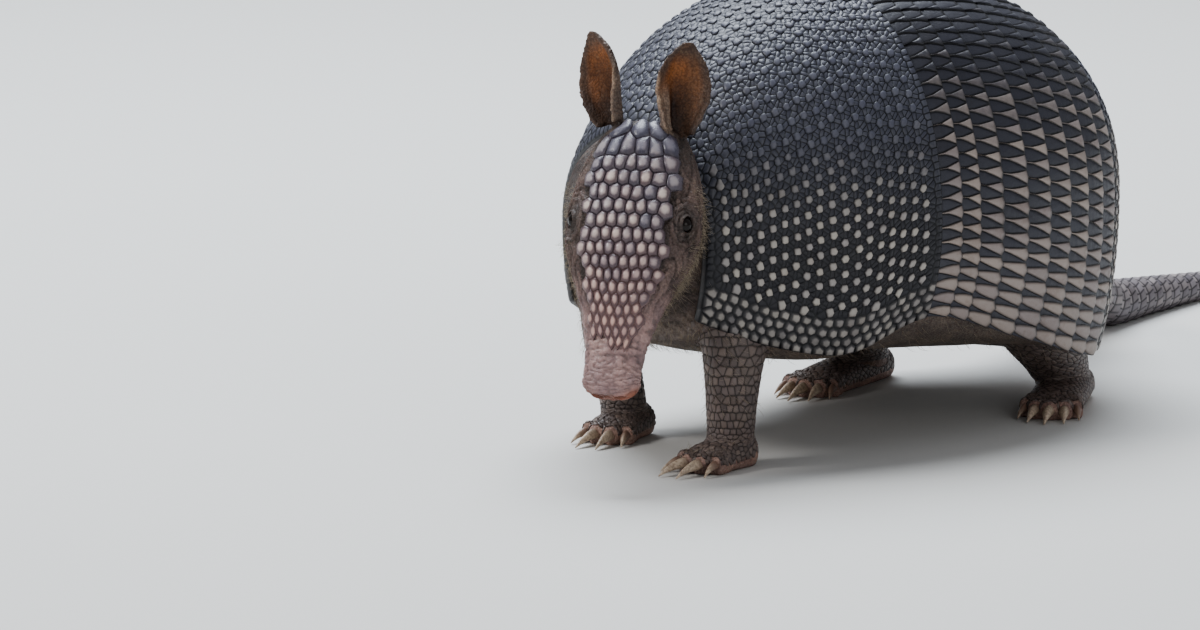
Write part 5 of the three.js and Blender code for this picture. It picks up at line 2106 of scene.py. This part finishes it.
# %% One bristle and its finish
def bristle_template():
    bm = bmesh.new()
    bmesh.ops.create_cone(bm, cap_ends=True, segments=3, radius1=1, radius2=0.15, depth=1)
    long_edges = [e for e in bm.edges if abs(e.verts[0].co.z - e.verts[1].co.z) > 0.5]
    bmesh.ops.subdivide_edges(bm, edges=long_edges, cuts=2)
    mesh = bpy.data.meshes.new("bristle")
    bm.to_mesh(mesh)
    bm.free()
    return mesh


def copies(name, template, count):
    """One mesh that holds a template many times."""
    whole = bmesh.new()
    for _ in range(count):
        whole.from_mesh(template)
    mesh = bpy.data.meshes.new(name)
    whole.to_mesh(mesh)
    whole.free()
    return mesh


def bristle_finish():
    made = Finish("bristles", IOR=1.5)
    tone = made.noise(300, 3).ramp(0.3, 0.7).blend((0.16, 0.12, 0.085), (0.42, 0.35, 0.26))
    return made.set(Base_Color=tone, Roughness=made.noise(500).ramp(0, 1, 0.4, 0.6))


template = bristle_template()
print("faces of a bristle:", len(template.polygons))

# %% Bristles
BRISTLE_THICK = 0.095
REARWARD = np.array([0.0, 1.0, -0.55])


def bend_bristles(shape, roots, normals, length, chance):
    """The points of every bristle, and the number of the root that each point belongs to."""
    count = len(roots)
    rear = REARWARD + chance.normal(0, 0.35, (count, 3))
    flat = rear - normals * (rear * normals).sum(axis=1)[:, None]
    flat /= np.linalg.norm(flat, axis=1)[:, None]
    side = np.cross(normals, flat)
    owner = np.repeat(np.arange(count), len(shape))
    x, y, t = np.tile(shape, (count, 1)).T
    t = t + 0.5
    thick = BRISTLE_THICK * chance.uniform(0.7, 1.3, count)[owner]
    rise = (length[owner] * (0.62 * t - 0.30 * t**2))[:, None] * normals[owner]
    run = (length[owner] * (0.55 * t + 0.35 * t**2))[:, None] * flat[owner]
    points = roots[owner] + rise + run - normals[owner] * 0.2
    points += (x * thick)[:, None] * side[owner] + (y * thick)[:, None] * normals[owner]
    points[:, 2] = np.maximum(points[:, 2], 0.1)
    return points, skin_unwrap(roots)[owner] + 0.003 * np.stack([t, x * 0.5], axis=1)


def bristles(count):
    chance = np.random.default_rng(17)
    roots, normals, length = bristle_roots(count, chance)
    shape = mesh_points(template) * MM
    points, uv = bend_bristles(shape, roots, normals, length, chance)
    mesh = copies("bristles", template, count)
    mesh.vertices.foreach_set("co", (points * MM).ravel())
    mesh.uv_layers.new(name="OFBake").data.foreach_set("uv", uv[loop_corners(mesh)].ravel())
    mesh.update()
    made = add_object("bristles", mesh)
    mesh.materials.append(bristle_finish())
    mesh.shade_smooth()
    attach(made, "root")
    print("bristles", count, "triangles", triangles(made))


bristles(BRISTLES)
bpy.data.meshes.remove(template)

# %% [markdown]
# ## Floor and light
# A plain floor and daylight from above show the shape best. A broad cool lamp is the sky, a warmer
# one in front is the key, and a weak one fills the shade. A larger lamp gives softer shadows.

# %% Floor and light
TARGET = Vector((44.5, -85.1, 74.6)) * MM + Vector(SHIFT) * MM


def make_stage():
    bpy.ops.mesh.primitive_plane_add(size=14, location=(0, 0, 0))
    floor = bpy.context.object
    floor.name = "floor"
    made = Finish("floor")
    tone = made.noise(1.2, 2).blend((0.60, 0.595, 0.58), (0.64, 0.635, 0.62))
    floor.data.materials.append(made.set(Base_Color=tone, Roughness=0.85))


def look_at_target(thing):
    thing.rotation_euler = (TARGET - thing.location).to_track_quat("-Z", "Y").to_euler()


def area_light(name, place, size, power, colour):
    data = bpy.data.lights.new(name, "AREA")
    data.shape, data.size, data.energy, data.color = "DISK", size, power, colour
    lamp = add_object(name, data)
    lamp.location = place
    look_at_target(lamp)


make_stage()
area_light("sky", (-0.9, 0.5, 2.3), 2.2, 105, (0.88, 0.94, 1.0))
area_light("key", (-1.2, -2.2, 1.9), 0.9, 30, (1.0, 0.98, 0.95))
area_light("fill", (2.2, -1.2, 0.9), 1.6, 9, (1.0, 0.99, 0.97))
world = bpy.data.worlds.new("studio")
world.use_nodes = True
backdrop = world.node_tree.nodes["Background"].inputs
backdrop["Color"].default_value, backdrop["Strength"].default_value = (0.86, 0.89, 0.93, 1), 0.38
bpy.context.scene.world = world

# %% [markdown]
# ## Camera
# The camera stands at the animal's front left, low and far off. A long lens from far away keeps
# the near foot from looking larger than the far one.

# %% Camera
VIEW_AZIMUTH, VIEW_ELEVATION, VIEW_DISTANCE = 36 * DEG, 9 * DEG, 3.5
LENS, SENSOR, FARTHEST = 262, 36, 50


def make_camera():
    data = bpy.data.cameras.new("camera")
    data.lens, data.sensor_width, data.clip_end = LENS, SENSOR, FARTHEST
    camera = add_object("camera", data)
    flat = math.cos(VIEW_ELEVATION)
    camera.location = TARGET + VIEW_DISTANCE * Vector(
        (math.sin(VIEW_AZIMUTH) * flat, -math.cos(VIEW_AZIMUTH) * flat, math.sin(VIEW_ELEVATION)))
    look_at_target(camera)
    bpy.context.scene.camera = camera


bpy.context.scene.view_settings.view_transform = "AgX"
bpy.context.scene.view_settings.look = "AgX - Medium High Contrast"
make_camera()
print("camera at", [round(axis, 2) for axis in bpy.context.scene.camera.location])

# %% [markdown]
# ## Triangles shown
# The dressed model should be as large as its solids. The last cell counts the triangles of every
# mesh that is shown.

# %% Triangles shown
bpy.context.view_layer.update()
total = 0
for thing in bpy.context.scene.objects:
    if thing.type == "MESH" and not thing.hide_render:
        thing.data.calc_loop_triangles()
        total += len(thing.data.loop_triangles)
print("triangles shown", total)
